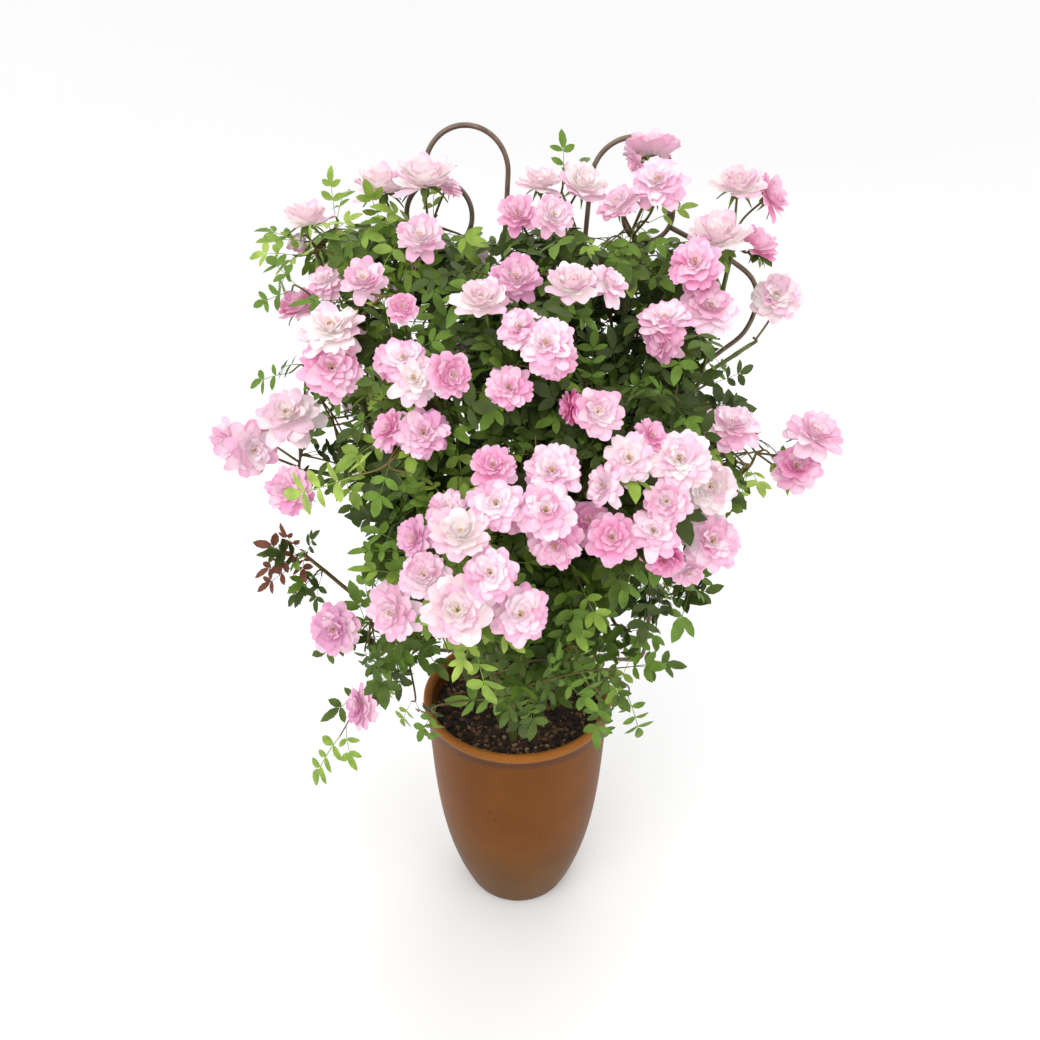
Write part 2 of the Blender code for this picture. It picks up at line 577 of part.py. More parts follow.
def guard_pot(guard):
    """The pot with its soil as one plain drum, for foliage to stay clear of."""
    shape = bmesh.ops.create_cone(guard, cap_ends=True, segments=POT_SEGMENTS,
                                  radius1=RIM_RADIUS + CLEARANCE, radius2=RIM_RADIUS + CLEARANCE,
                                  depth=POT_HEIGHT + 2 * CLEARANCE)
    bmesh.ops.translate(guard, verts=shape["verts"], vec=(0, 0, POT_HEIGHT / 2))


# Foliage

class Space:
    """The room that one spray has: flat walls between its heart and each other one's."""

    def __init__(self, name):
        own = SPRAYS[name]
        here = Vector(own["heart"])
        self.walls = []
        for other_name, other in SPRAYS.items():
            if other_name == name:
                continue
            there = Vector(other["heart"])
            apart = (there - here).length
            lead = (own["space"] ** 2 - other["space"] ** 2) / (2 * apart)
            way = (there - here) / apart
            self.walls.append((way, way.dot(here) + apart / 2 + lead - SPACE_MARGIN))

    def holds(self, points):
        return all(way.dot(point) <= wall for way, wall in self.walls for point in points)

    def crown_holds(self, points):
        """Whether points are inside the crown's outline too."""
        return self.holds(points) and all(
            point.z < CROWN_TOP
            and sum(((p - m) / r) ** 2 for p, m, r in zip(point, CROWN_MIDDLE, CROWN_REACH)) < 1
            for point in points)

    def push_in(self, points):
        """The move that brings a shape's points inside, or nearly."""
        move = Vector((0, 0, 0))
        for _ in range(12):
            for way, wall in self.walls:
                beyond = max(way.dot(point + move) for point in points) - wall
                if beyond > 0:
                    move -= way * (beyond + 0.0002)
        return move


def bloom_shape(root, spot, facing, width):
    """A full rosette on its stalk: a hollowed dome over a lobed rim, closed down to its hip."""
    bm = bmesh.new()
    turn = facing.to_track_quat("Z", "Y").to_matrix().to_4x4()
    frame = Matrix.Translation(spot) @ turn
    half = width / 2
    lobes = BLOOM_LOBES
    foot = ring(bm, 3, TWIG_RADIUS, 0.0)
    bmesh.ops.translate(bm, verts=foot, vec=frame.inverted() @ root)
    hip = ring(bm, 3, 0.16 * half, -0.62 * half)
    rim = []
    for i in range(2 * lobes):
        reach, rise = (half, 0.06 * half) if i % 2 == 0 else (0.84 * half, -0.06 * half)
        angle = math.tau * i / (2 * lobes)
        rim.append(bm.verts.new((reach * math.cos(angle), reach * math.sin(angle), rise)))
    dome = ring(bm, lobes, 0.52 * half, 0.36 * half)
    middle = bm.verts.new((0, 0, 0.20 * half))
    bm.faces.new(reversed(foot))
    for i in range(3):
        after = (i + 1) % 3
        bm.faces.new((foot[i], foot[after], hip[after], hip[i]))
    for i in range(2 * lobes):
        after = (i + 1) % (2 * lobes)
        own, following = i * 3 // (2 * lobes), ((i + 1) * 3 // (2 * lobes)) % 3
        if own == following:
            bm.faces.new((hip[own], rim[after], rim[i]))
        else:
            bm.faces.new((hip[own], hip[following], rim[after], rim[i]))
    for i in range(lobes):
        after = (i + 1) % lobes
        a, b, c = rim[2 * i], rim[2 * i + 1], rim[(2 * i + 2) % (2 * lobes)]
        bm.faces.new((a, b, dome[i]))
        bm.faces.new((b, c, dome[after]))
        bm.faces.new((b, dome[after], dome[i]))
        bm.faces.new((dome[i], dome[after], middle))
    bmesh.ops.triangulate(bm, faces=bm.faces)
    bmesh.ops.transform(bm, matrix=frame, verts=bm.verts)
    bmesh.ops.recalc_face_normals(bm, faces=bm.faces)
    return bm


def ring(bm, count, radius, height):
    angles = [math.tau * i / count for i in range(count)]
    return [bm.verts.new((radius * math.cos(a), radius * math.sin(a), height)) for a in angles]


def stalk_ring(bm, along):
    """Three corners round a leaf's stalk: left, top, right. Its underside is flat."""
    half = STALK_HALF
    return [bm.verts.new(corner) for corner in
            ((along, half, 0), (along, 0, STALK_RIDGE), (along, -half, 0))]


def side_leaflet(bm, low, high, hand, length, along):
    """A blade of eight faces between two rings of the stalk, on its left (1) or right (-1)."""
    edge = 0 if hand > 0 else 2
    run, reach = math.cos(LEAFLET_ANGLE), math.sin(LEAFLET_ANGLE)
    half = length * LEAFLET_WIDTH / 2
    middle = 0.45 * length
    near = bm.verts.new((along + middle * run - half * reach, hand * (middle * reach + half * run), 0.001))
    far = bm.verts.new((along + middle * run + half * reach, hand * (middle * reach - half * run), 0.001))
    tip = bm.verts.new((along + length * run, hand * length * reach, -LEAFLET_DROOP))
    bm.faces.new((low[1], low[edge], near))
    bm.faces.new((low[1], near, tip))
    bm.faces.new((low[1], tip, high[1]))
    bm.faces.new((high[1], tip, far))
    bm.faces.new((high[1], far, high[edge]))
    bm.faces.new((low[edge], near, tip))
    bm.faces.new((low[edge], tip, high[edge]))
    bm.faces.new((high[edge], tip, far))


def last_leaflet(bm, last, stalk, length):
    """The blade that ends a leaf."""
    left, top, right = last
    half = length * LEAFLET_WIDTH / 2
    widest = stalk + 0.45 * length
    tip = bm.verts.new((stalk + length, 0, -LEAFLET_DROOP))
    shoulders = [bm.verts.new((widest, half, 0.001)), bm.verts.new((widest, -half, 0.001))]
    for edge, shoulder in zip((left, right), shoulders):
        bm.faces.new((top, edge, shoulder))
        bm.faces.new((top, shoulder, tip))
        bm.faces.new((edge, shoulder, tip))
    bm.faces.new((left, right, tip))


def leaf_shape(root, way, face, size, pairs):
    """A leaf with pairs of leaflets along its stalk and one at the end, as one closed blade."""
    bm = bmesh.new()
    length = LEAFLET_LENGTH * size
    stalk = LEAF_STALK * size
    last = stalk_ring(bm, 0.0)
    bm.faces.new(last)
    for share in PAIR_PLACES[-pairs:]:
        low = stalk_ring(bm, stalk * share - PAIR_ROOT)
        high = stalk_ring(bm, stalk * share + PAIR_ROOT)
        for side in range(3):
            after = (side + 1) % 3
            bm.faces.new((last[side], last[after], low[after], low[side]))
        bm.faces.new((low[0], low[2], high[2], high[0]))
        for hand in (1, -1):
            side_leaflet(bm, low, high, hand, length * (0.8 + 0.2 * share), stalk * share)
        last = high
    last_leaflet(bm, last, stalk, length)
    bmesh.ops.triangulate(bm, faces=bm.faces)
    way = way.normalized()
    across = face.cross(way).normalized()
    axes = Matrix((way, across, way.cross(across))).transposed().to_4x4()
    bmesh.ops.transform(bm, matrix=Matrix.Translation(root) @ axes, verts=bm.verts)
    bmesh.ops.recalc_face_normals(bm, faces=bm.faces)
    return bm


def twig_shape(path, first, last):
    bm = bmesh.new()
    add_tube(bm, path, tapered(path, first, last), TWIG_SIDES)
    bmesh.ops.triangulate(bm, faces=bm.faces)
    bmesh.ops.recalc_face_normals(bm, faces=bm.faces)
    return bm


class Spray:
    """One mass of foliage while it grows: its parts, each tested before it is kept."""

    def __init__(self, name, limbs, guard):
        self.name = name
        self.plan = SPRAYS[name]
        self.space = Space(name)
        self.guard = guard
        self.chance = random.Random(name)
        self.parts = []
        self.trees = []
        self.twigs = []
        self.facing = Vector(self.plan["facing"]).normalized()
        self.heart = Vector(self.plan["heart"])
        limb, share = self.plan["root"]
        start, way = limbs[limb].foothold(share, self.heart)
        reach = (self.heart - start).length
        bend = [start + way * 0.003, start + way * reach * 0.35, self.heart]
        path = [start] + curve_through(bend, STEM_STEPS)
        thick = min(STEM_RADIUS, limbs[limb].at(share)[2] * 0.9)
        self.keep(twig_shape(path, thick, TWIG_RADIUS))
        self.stem = path

    def keep(self, bm):
        self.trees.append(BVHTree.FromBMesh(bm))
        self.parts.append(to_mesh(self.name + "_part", bm))

    def free(self, bm, apart_from, room):
        """Whether a part has room, off every limb and off the spray's other parts."""
        tree = BVHTree.FromBMesh(bm)
        if not room([corner.co for corner in bm.verts]) or tree.overlap(self.guard):
            return False
        return not any(tree.overlap(other) for i, other in enumerate(self.trees)
                       if i not in apart_from)

    def add_bloom(self, x, y, z, width):
        spot = Vector((x, y, z))
        look = (spot - self.heart + self.facing * FACE_PIVOT).normalized()
        trial = bloom_shape(self.heart, spot, look, width)
        spot += self.space.push_in([corner.co for corner in trial.verts])
        trial.free()
        root = min(self.stem[2:], key=lambda point: (point - spot).length)
        bloom = bloom_shape(root, spot, look, width)
        if BVHTree.FromBMesh(bloom).overlap(self.guard):
            bloom.free()
            return
        self.twigs.append((root, spot - look * width * 0.30, len(self.trees)))
        self.keep(bloom)

    def add_shoot(self, x, y, z):
        """A leafy twig out to a tip, with leaves on alternate sides and one that ends it."""
        tip = Vector((x, y, z))
        root = min(self.stem[2:], key=lambda point: (point - tip).length)
        way = (tip - root).normalized()
        size = min(1.0, (tip - root).length / (LEAFLET_LENGTH + LEAF_STALK + SHOOT_FOOT))
        end = tip - way * (LEAFLET_LENGTH + LEAF_STALK) * size
        face = (UP + self.facing - way * 0.2).normalized()
        trial = leaf_shape(end, way, face, size, 2)
        end += self.space.push_in([corner.co for corner in trial.verts])
        trial.free()
        carrier = len(self.trees)
        shape = twig_shape([root, end + way * 0.003], TWIG_RADIUS, RACHIS_RADIUS)
        self.keep(shape)
        room = self.space.holds
        self.add_leaf(end, way, face, size, 2, (carrier, 0), room)
        side = way.cross(face).normalized()
        count = int((end - root).length / SHOOT_SPACING)
        for i in range(count):
            hand = 1 if i % 2 else -1
            spot = root.lerp(end, (i + 0.8) / (count + 0.3))
            self.add_leaf(spot, side * hand + way * 0.7, face, 1.05, 1, (carrier,), room)

    def add_leaf(self, root, way, face, size, pairs, carriers, room):
        """A leaf of a few pairs of leaflets. False where there is no room for it."""
        shape = leaf_shape(root, way, face, size, pairs)
        if self.free(shape, carriers, room):
            self.keep(shape)
            return True
        shape.free()
        return False

    def stem_pieces(self):
        """The straight pieces of the stem, past its foot, as the other twigs are stored."""
        return [(low, high, 0) for low, high in zip(self.stem[1:], self.stem[2:])]

    def add_leaves(self, count):
        """Leaves of three leaflets that set off from the stem and twigs by chance, mostly outwards."""
        made = 0
        for _ in range(count * TRIES_PER_LEAF):
            if made == count:
                return
            source = self.chance.choice(self.twigs + self.stem_pieces() * 2)
            root = source[0].lerp(source[1], self.chance.uniform(0.25, 0.95))
            turn = Vector([self.chance.gauss(0, 1) for _ in range(3)]).normalized()
            way = (turn + self.facing * 0.25).normalized()
            face = (UP * 0.7 + self.facing * 0.6 + turn * 0.2)
            face = (face - face.project(way)).normalized()
            size = self.chance.uniform(*CHANCE_SIZE)
            made += self.add_leaf(root, way, face, size, 1, (source[2], 0), self.space.crown_holds)

    def join(self, material):
        """All parts as one closed solid."""
        stem = place(self.name, self.parts[0], material, smooth=False)
        collection = bpy.data.collections.new(self.name + "_parts")
        bpy.context.scene.collection.children.link(collection)
        for mesh in self.parts[1:]:
            collection.objects.link(bpy.data.objects.new(mesh.name, mesh))
        union = stem.modifiers.new("union", "BOOLEAN")
        union.operation = "UNION"
        union.operand_type = "COLLECTION"
        union.collection = collection
        union.solver = "EXACT"
        bpy.context.view_layer.update()
        seen = stem.evaluated_get(bpy.context.evaluated_depsgraph_get())
        joined = bpy.data.meshes.new_from_object(seen)
        stem.modifiers.clear()
        stem.data = joined
        for item in list(collection.objects):
            bpy.data.objects.remove(item, do_unlink=True)
        bpy.data.collections.remove(collection)
        tidy_body(joined, self.stem[0])
        joined.materials.clear()
        joined.materials.append(material)


def plain_copy(mesh, angle):
    """The mesh in triangles, its flat faces first joined where they differ by less than an angle."""
    bm = bmesh.new()
    bm.from_mesh(mesh)
    bmesh.ops.dissolve_limit(bm, angle_limit=angle, verts=bm.verts, edges=bm.edges)
    bmesh.ops.triangulate(bm, faces=bm.faces)
    return bm


def flips(corner, other, spot):
    """Whether a face round a corner, but not on the other, turns over as the corner moves to a spot."""
    for face in corner.link_faces:
        if other in face.verts:
            continue
        moved = [spot if near is corner else near.co for near in face.verts]
        normal = (moved[1] - moved[0]).cross(moved[2] - moved[0])
        if normal.normalized().dot(face.normal) < KEPT_TURN:
            return True
    return False


def may_close(edge):
    """Whether a short edge can close to a point and leave the surface whole."""
    low, high = edge.verts
    if edge.calc_length() > SHORT_EDGE:
        return False
    beside_low = {near.other_vert(low) for near in low.link_edges}
    beside_high = {near.other_vert(high) for near in high.link_edges}
    shared = beside_low & beside_high
    if len(shared) != 2 or min(len(corner.link_edges) for corner in shared) < 4:
        return False
    middle = (low.co + high.co) / 2
    return not flips(low, high, middle) and not flips(high, low, middle)


def close_short_edges(bm):
    """Closes the short edges that a union leaves where twigs cross."""
    bm.normal_update()
    while True:
        edge = next((edge for edge in bm.edges if may_close(edge)), None)
        if edge is None:
            return
        middle = (edge.verts[0].co + edge.verts[1].co) / 2
        bmesh.ops.pointmerge(bm, verts=list(edge.verts), merge_co=middle)
        bm.normal_update()


def tidy_body(mesh, foot):
    """Keeps the body that holds the stem's foot: sealed hollows are filled and loose scraps dropped."""
    bm = plain_copy(mesh, FLAT_ANGLE)
    if not all(edge.is_manifold for edge in bm.edges):
        bm.free()
        bm = plain_copy(mesh, 0.0)
    waiting = set(bm.faces)
    bodies = []
    while waiting:
        body = [waiting.pop()]
        for face in body:
            for edge in face.edges:
                for near in edge.link_faces:
                    if near in waiting:
                        waiting.remove(near)
                        body.append(near)
        bodies.append(body)
    main = min(bodies, key=lambda body: min((face.verts[0].co - foot).length for face in body))
    spare = [face for body in bodies if body is not main for face in body]
    bmesh.ops.delete(bm, geom=spare, context="FACES")
    close_short_edges(bm)
    bm.to_mesh(mesh)
    bm.free()


def build_sprays(material, limbs, guard):
    for name, plan in SPRAYS.items():
        spray = Spray(name, limbs, guard)
        for tip in plan["shoots"]:
            spray.add_shoot(*tip)
        for bloom in plan["blooms"]:
            spray.add_bloom(*bloom)
        spray.add_leaves(plan["leaves"])
        spray.join(material)


def main():
    clear_scene()
    bark = make_material("bark", CANE_GREEN, 0.65)
    build_pot(make_material("glaze", GLAZE, 0.35))
    build_soil(make_material("soil", SOIL_BROWN, 0.95))
    shell = bmesh.new()
    build_trellis(make_material("rod", ROD_GREY, 0.5, 0.6), shell)
    limbs = build_limbs(bark, shell)
    guard_pot(shell)
    guard = BVHTree.FromBMesh(shell)
    shell.free()
    build_sprays(make_material("foliage", PINK_GREEN, 0.6), limbs, guard)


main()
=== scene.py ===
import math
import random

import bmesh
import bpy
import numpy as np
from mathutils import Matrix, Vector, noise


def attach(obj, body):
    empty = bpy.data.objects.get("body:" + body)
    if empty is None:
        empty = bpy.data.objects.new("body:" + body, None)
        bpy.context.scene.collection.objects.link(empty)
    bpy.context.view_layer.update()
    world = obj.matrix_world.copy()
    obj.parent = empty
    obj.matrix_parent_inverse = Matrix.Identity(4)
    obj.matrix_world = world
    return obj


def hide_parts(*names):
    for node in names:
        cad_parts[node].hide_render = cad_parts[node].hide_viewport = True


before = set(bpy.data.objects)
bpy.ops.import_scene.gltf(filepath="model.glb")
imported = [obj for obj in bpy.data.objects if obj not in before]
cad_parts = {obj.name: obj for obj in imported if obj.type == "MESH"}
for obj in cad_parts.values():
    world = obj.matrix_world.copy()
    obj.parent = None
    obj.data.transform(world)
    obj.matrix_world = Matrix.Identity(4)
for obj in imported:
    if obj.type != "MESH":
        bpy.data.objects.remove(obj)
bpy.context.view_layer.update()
up = Vector((0.0, 0.0, 1.0))
print("frame loaded:", len(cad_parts), "nodes")


# Shared ways of making a mesh

def meshFrom(name, bm):
    mesh = bpy.data.meshes.new(name)
    bm.to_mesh(mesh)
    bm.free()
    return mesh


def turned(profile, steps):
    # (radius, height) points turned once round the Z axis
    bm = bmesh.new()
    corners = [bm.verts.new((radius, 0.0, height)) for radius, height in profile]
    edges = [bm.edges.new(pair) for pair in zip(corners, corners[1:])]
    bmesh.ops.spin(bm, geom=corners + edges, cent=(0, 0, 0), axis=(0, 0, 1), dvec=(0, 0, 0),
                   angle=math.tau, steps=steps, use_merge=True, use_duplicate=False)
    bmesh.ops.remove_doubles(bm, verts=bm.verts, dist=0.00001)
    bmesh.ops.recalc_face_normals(bm, faces=bm.faces)
    return bm


# Camera, light and floor

studio = {
    "cameraPlace": (0.0035, -0.800, 0.981),
    "cameraPitch": 27.8,        # degrees below the horizon
    "lens": 27.6, "sensor": 36,
    "shift": -0.0003,
    "skyStrength": 0.98,
    "lamps": {                  # power, place and size of each
        "key": (44, (-1.3, -2.2, 3.0), 2.2),
        "fill": (14, (2.2, -1.6, 1.7), 2.0),
        "back": (20, (0.6, 2.4, 2.8), 2.2)},
    "lampAim": (0, 0, 0.5),
    "floorFlat": 3.0, "floorSweep": 2.08, "floorRise": 2.6, "floorSteps": 96,
    "floorPaint": (0.90, 0.90, 0.90, 1.0), "floorRoughness": 0.9,
}


def srgb(colour):
    # display values from 0 to 255 to linear ones, with nothing see-through
    channels = [channel / 255 for channel in colour]
    return (*[c / 12.92 if c <= 0.04045 else ((c + 0.055) / 1.055) ** 2.4 for c in channels], 1.0)


def makeCamera():
    lensData = bpy.data.cameras.new("camera")
    lensData.lens = studio["lens"]
    lensData.sensor_width = studio["sensor"]
    lensData.shift_x = studio["shift"]
    camera = bpy.data.objects.new("camera", lensData)
    camera.location = studio["cameraPlace"]
    camera.rotation_euler = (math.radians(90 - studio["cameraPitch"]), 0, 0)
    bpy.context.scene.collection.objects.link(camera)
    bpy.context.scene.camera = camera


def softLight(name, power, place, size):
    data = bpy.data.lights.new(name, "AREA")
    data.energy = power
    data.size = size
    lamp = bpy.data.objects.new(name, data)
    lamp.location = place
    aim = Vector(studio["lampAim"]) - Vector(place)
    lamp.rotation_euler = aim.to_track_quat("-Z", "Y").to_euler()
    bpy.context.scene.collection.objects.link(lamp)


def makeFloor():
    # a round floor that sweeps up at its edge
    flat, sweep, rise = studio["floorFlat"], studio["floorSweep"], studio["floorRise"]
    profile = [(0.0, 0.0), (flat, 0.0)]
    for angle in range(10, 100, 10):
        a = math.radians(angle)
        profile.append((flat + sweep * math.sin(a), rise * (1 - math.cos(a))))
    mesh = meshFrom("floor", turned(profile, studio["floorSteps"]))
    mesh.shade_smooth()
    paint = bpy.data.materials.new("floorPaint")
    paint.use_nodes = True
    shader = paint.node_tree.nodes["Principled BSDF"]
    shader.inputs["Base Color"].default_value = studio["floorPaint"]
    shader.inputs["Roughness"].default_value = studio["floorRoughness"]
    mesh.materials.append(paint)
    floor = bpy.data.objects.new("floor", mesh)
    bpy.context.scene.collection.objects.link(floor)


def makeStudio():
    makeCamera()
    for name, (power, place, size) in studio["lamps"].items():
        softLight(name, power, place, size)
    sky = bpy.data.worlds.new("sky")
    sky.use_nodes = True
    sky.node_tree.nodes["Background"].inputs["Color"].default_value = (1.0, 1.0, 1.0, 1.0)
    sky.node_tree.nodes["Background"].inputs["Strength"].default_value = studio["skyStrength"]
    bpy.context.scene.world = sky
    bpy.context.scene.view_settings.view_transform = "Standard"
    makeFloor()


makeStudio()
print("studio ready")


# Finishes

finish = {
    "noiseSpan": {"From Min": 0.30, "From Max": 0.70},      # where most of a noise texture's values lie
    "grain": 0.6, "bumpStrength": 0.6,
}


def addNode(nodes, kind, values=None, **settings):
    # a shader node with its settings, and values for its inputs
    node = nodes.new("ShaderNode" + kind)
    for label, value in settings.items():
        setattr(node, label, value)
    for label, value in (values or {}).items():
        node.inputs[label].default_value = value
    return node


def mixColours(nodes, links, share, first, second):
    # a Mix node's colour sockets share their names with others, so they go by number
    mixed = addNode(nodes, "Mix", data_type="RGBA")
    links.new(share, mixed.inputs[0])
    for socket, colour in ((mixed.inputs[6], first), (mixed.inputs[7], second)):
        if isinstance(colour, tuple):
            socket.default_value = colour
        else:
            links.new(colour, socket)
    return mixed.outputs[2]


def newGroup(name, inputs, outputs):
    group = bpy.data.node_groups.new(name, "ShaderNodeTree")
    for label, kind, value in inputs:
        socket = group.interface.new_socket(name=label, in_out="INPUT", socket_type=kind)
        socket.default_value = value
    for label, kind in outputs:
        group.interface.new_socket(name=label, in_out="OUTPUT", socket_type=kind)
    return group, group.nodes.new("NodeGroupInput"), group.nodes.new("NodeGroupOutput")


def unevenGroup():
    # a colour that drifts lighter and darker over the surface
    group, given, result = newGroup(
        "unevenColour",
        [("Colour", "NodeSocketColor", (1, 1, 1, 1)), ("Amount", "NodeSocketFloat", 0.2),
         ("Scale", "NodeSocketFloat", 50.0), ("Detail", "NodeSocketFloat", 4.0)],
        [("Colour", "NodeSocketColor")])
    nodes, links = group.nodes, group.links
    place = addNode(nodes, "TexCoord")
    cloud = addNode(nodes, "TexNoise")
    ramp = addNode(nodes, "MapRange", finish["noiseSpan"])
    low = addNode(nodes, "Math", {0: 1.0}, operation="SUBTRACT")
    high = addNode(nodes, "Math", {0: 1.0}, operation="ADD")
    scale = addNode(nodes, "VectorMath", operation="SCALE")
    links.new(place.outputs["Object"], cloud.inputs["Vector"])
    links.new(given.outputs["Scale"], cloud.inputs["Scale"])
    links.new(given.outputs["Detail"], cloud.inputs["Detail"])
    links.new(cloud.outputs["Fac"], ramp.inputs["Value"])
    links.new(given.outputs["Amount"], low.inputs[1])
    links.new(given.outputs["Amount"], high.inputs[1])
    links.new(low.outputs[0], ramp.inputs["To Min"])
    links.new(high.outputs[0], ramp.inputs["To Max"])
    links.new(given.outputs["Colour"], scale.inputs[0])
    links.new(ramp.outputs["Result"], scale.inputs["Scale"])
    links.new(scale.outputs[0], result.inputs["Colour"])
    return group


def reliefGroup():
    # fine bumps for a Bump node's Height
    group, given, result = newGroup(
        "fineRelief", [("Scale", "NodeSocketFloat", 200.0), ("Stretch", "NodeSocketFloat", 1.0),
                       ("Detail", "NodeSocketFloat", 4.0)],
        [("Height", "NodeSocketFloat")])
    nodes, links = group.nodes, group.links
    place = addNode(nodes, "TexCoord")
    apart = addNode(nodes, "SeparateXYZ")
    squeeze = addNode(nodes, "Math", operation="MULTIPLY")
    joined = addNode(nodes, "CombineXYZ")
    cloud = addNode(nodes, "TexNoise", {"Roughness": finish["grain"]})
    links.new(given.outputs["Detail"], cloud.inputs["Detail"])
    links.new(place.outputs["Object"], apart.inputs[0])
    links.new(apart.outputs["X"], joined.inputs["X"])
    links.new(apart.outputs["Y"], joined.inputs["Y"])
    links.new(apart.outputs["Z"], squeeze.inputs[0])
    links.new(given.outputs["Stretch"], squeeze.inputs[1])
    links.new(squeeze.outputs[0], joined.inputs["Z"])
    links.new(joined.outputs[0], cloud.inputs["Vector"])
    links.new(given.outputs["Scale"], cloud.inputs["Scale"])
    links.new(cloud.outputs["Fac"], result.inputs["Height"])
    return group


unevenColour = unevenGroup()
fineRelief = reliefGroup()


def surface(name, colour, roughness, uneven=0.15, unevenScale=40.0, relief=0.0004, reliefScale=300.0,
            stretch=1.0, detail=4.0, **sockets):
    # a material with an uneven colour and fine bumps; sockets are set on the shader itself
    made = bpy.data.materials.new(name)
    made.use_nodes = True
    nodes, links = made.node_tree.nodes, made.node_tree.links
    shader = nodes["Principled BSDF"]
    tint = addNode(nodes, "Group", {"Colour": srgb(colour), "Amount": uneven, "Scale": unevenScale,
                                    "Detail": detail}, node_tree=unevenColour)
    links.new(tint.outputs["Colour"], shader.inputs["Base Color"])
    bumps = addNode(nodes, "Group", {"Scale": reliefScale, "Stretch": stretch, "Detail": detail},
                    node_tree=fineRelief)
    bump = addNode(nodes, "Bump", {"Strength": finish["bumpStrength"], "Distance": relief})
    links.new(bumps.outputs["Height"], bump.inputs["Height"])
    links.new(bump.outputs["Normal"], shader.inputs["Normal"])
    shader.inputs["Roughness"].default_value = roughness
    for label, value in sockets.items():
        shader.inputs[label].default_value = value
    return made


# Shared ways of making a piece

def newPiece(name, mesh, materials, replaced, smoothAngle=None):
    for material in materials:
        mesh.materials.append(material)
    mesh.shade_smooth()
    if smoothAngle is not None:
        mesh.set_sharp_from_angle(angle=math.radians(smoothAngle))
    piece = bpy.data.objects.new(name, mesh)
    bpy.context.scene.collection.objects.link(piece)
    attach(piece, "root")
    if replaced:
        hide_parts(*replaced)
    return piece


def curveThrough(points, steps):
    # points along a smooth curve that passes through the given ones
    ends = [points[0] * 2 - points[1]] + list(points) + [points[-1] * 2 - points[-2]]
    spans = len(points) - 1
    curve = []
    for step in range(steps + 1):
        placeOn = min(step * spans / steps, spans - 1e-6)
        index = int(placeOn)
        t = placeOn - index
        a, b, c, d = ends[index:index + 4]
        curve.append(0.5 * (2 * b + (c - a) * t + (2 * a - 5 * b + 4 * c - d) * t * t
                            + (3 * b - a - 3 * c + d) * t ** 3))
    return curve


def tapered(count, first, last):
    return [first + (last - first) * i / (count - 1) for i in range(count)]


def tubesMesh(name, runs, roundness):
    # one mesh of tubes; each run is (points, radii, closed, material index)
    data = bpy.data.curves.new(name, "CURVE")
    data.dimensions = "3D"
    data.bevel_depth = 1.0
    data.bevel_resolution = roundness
    data.use_fill_caps = True
    for points, radii, closed, index in runs:
        spline = data.splines.new("POLY")
        spline.points.add(len(points) - 1)
        spline.points.foreach_set("co", [value for point in points for value in (*point, 1.0)])
        spline.points.foreach_set("radius", radii)
        spline.use_cyclic_u = closed
        spline.material_index = index
    for _ in range(1 + max(run[3] for run in runs)):
        data.materials.append(None)
    holder = bpy.data.objects.new(name, data)
    bpy.context.scene.collection.objects.link(holder)
    bpy.context.view_layer.update()
    mesh = bpy.data.meshes.new_from_object(holder)
    bpy.data.objects.remove(holder, do_unlink=True)
    mesh.materials.clear()
    return mesh


def readTemplate(bm):
    # a small shape as arrays, ready to be repeated
    bm.verts.index_update()
    shape = {
        "points": np.array([corner.co for corner in bm.verts], float),
        "corners": np.array([corner.index for face in bm.faces for corner in face.verts]),
        "sides": np.array([len(face.verts) for face in bm.faces]),
        "slots": np.array([face.material_index for face in bm.faces]),
    }
    flat = bm.loops.layers.uv.active
    if flat:
        shape["flat"] = np.array([loop[flat].uv for face in bm.faces for loop in face.loops])
    bm.free()
    return shape


def repeatedMesh(name, batches):
    # one mesh from (template, 4x4 places, slot shifts) batches
    points, corners, sides, slots, base = [], [], [], [], 0
    for shape, places, shifts in batches:
        if not len(places):
            continue
        places = np.array(places, float)
        moved = np.einsum("kij,nj->kni", places[:, :3, :3], shape["points"]) + places[:, None, :3, 3]
        count, size = len(places), len(shape["points"])
        starts = base + np.arange(count) * size
        points.append(moved.reshape(-1, 3))
        corners.append((shape["corners"][None, :] + starts[:, None]).ravel())
        sides.append(np.tile(shape["sides"], count))
        slots.append((shape["slots"][None, :] + np.array(shifts)[:, None]).ravel())
        base += count * size
    points, corners = np.concatenate(points), np.concatenate(corners)
    sides, slots = np.concatenate(sides), np.concatenate(slots)
    mesh = bpy.data.meshes.new(name)
    mesh.vertices.add(len(points))
    mesh.vertices.foreach_set("co", points.astype(np.float32).ravel())
    mesh.loops.add(len(corners))
    mesh.loops.foreach_set("vertex_index", corners.astype(np.int32))
    mesh.polygons.add(len(sides))
    mesh.polygons.foreach_set("loop_start", (np.cumsum(sides) - sides).astype(np.int32))
    mesh.polygons.foreach_set("material_index", slots.astype(np.int32))
    mesh.update(calc_edges=True)
    if "flat" in batches[0][0]:
        flat = np.concatenate([np.tile(shape["flat"], (len(places), 1))
                               for shape, places, _ in batches])
        mesh.uv_layers.new(name="UVMap").data.foreach_set("uv", flat.astype(np.float32).ravel())
    mesh.validate()
    return mesh


def batchesOf(shapes, found):
    # what repeatedMesh takes, from named shapes and (name, place, shift) entries
    batches = []
    for name, shape in shapes.items():
        own = [(place, shift) for kind, place, shift in found if kind == name]
        batches.append((shape, [place for place, _ in own], [shift for _, shift in own]))
    return batches


def partOf(spot, lines):
    # which of a kind's three pieces a leaf or bloom goes into
    backLine, middleLine = lines
    return "back" if spot.y > backLine else "front_left" if spot.x < middleLine else "front_right"


def report(piece, count, word):
    triangles = sum(len(face.vertices) - 2 for face in piece.data.polygons)
    print(piece.name, count, word, triangles, "triangles")


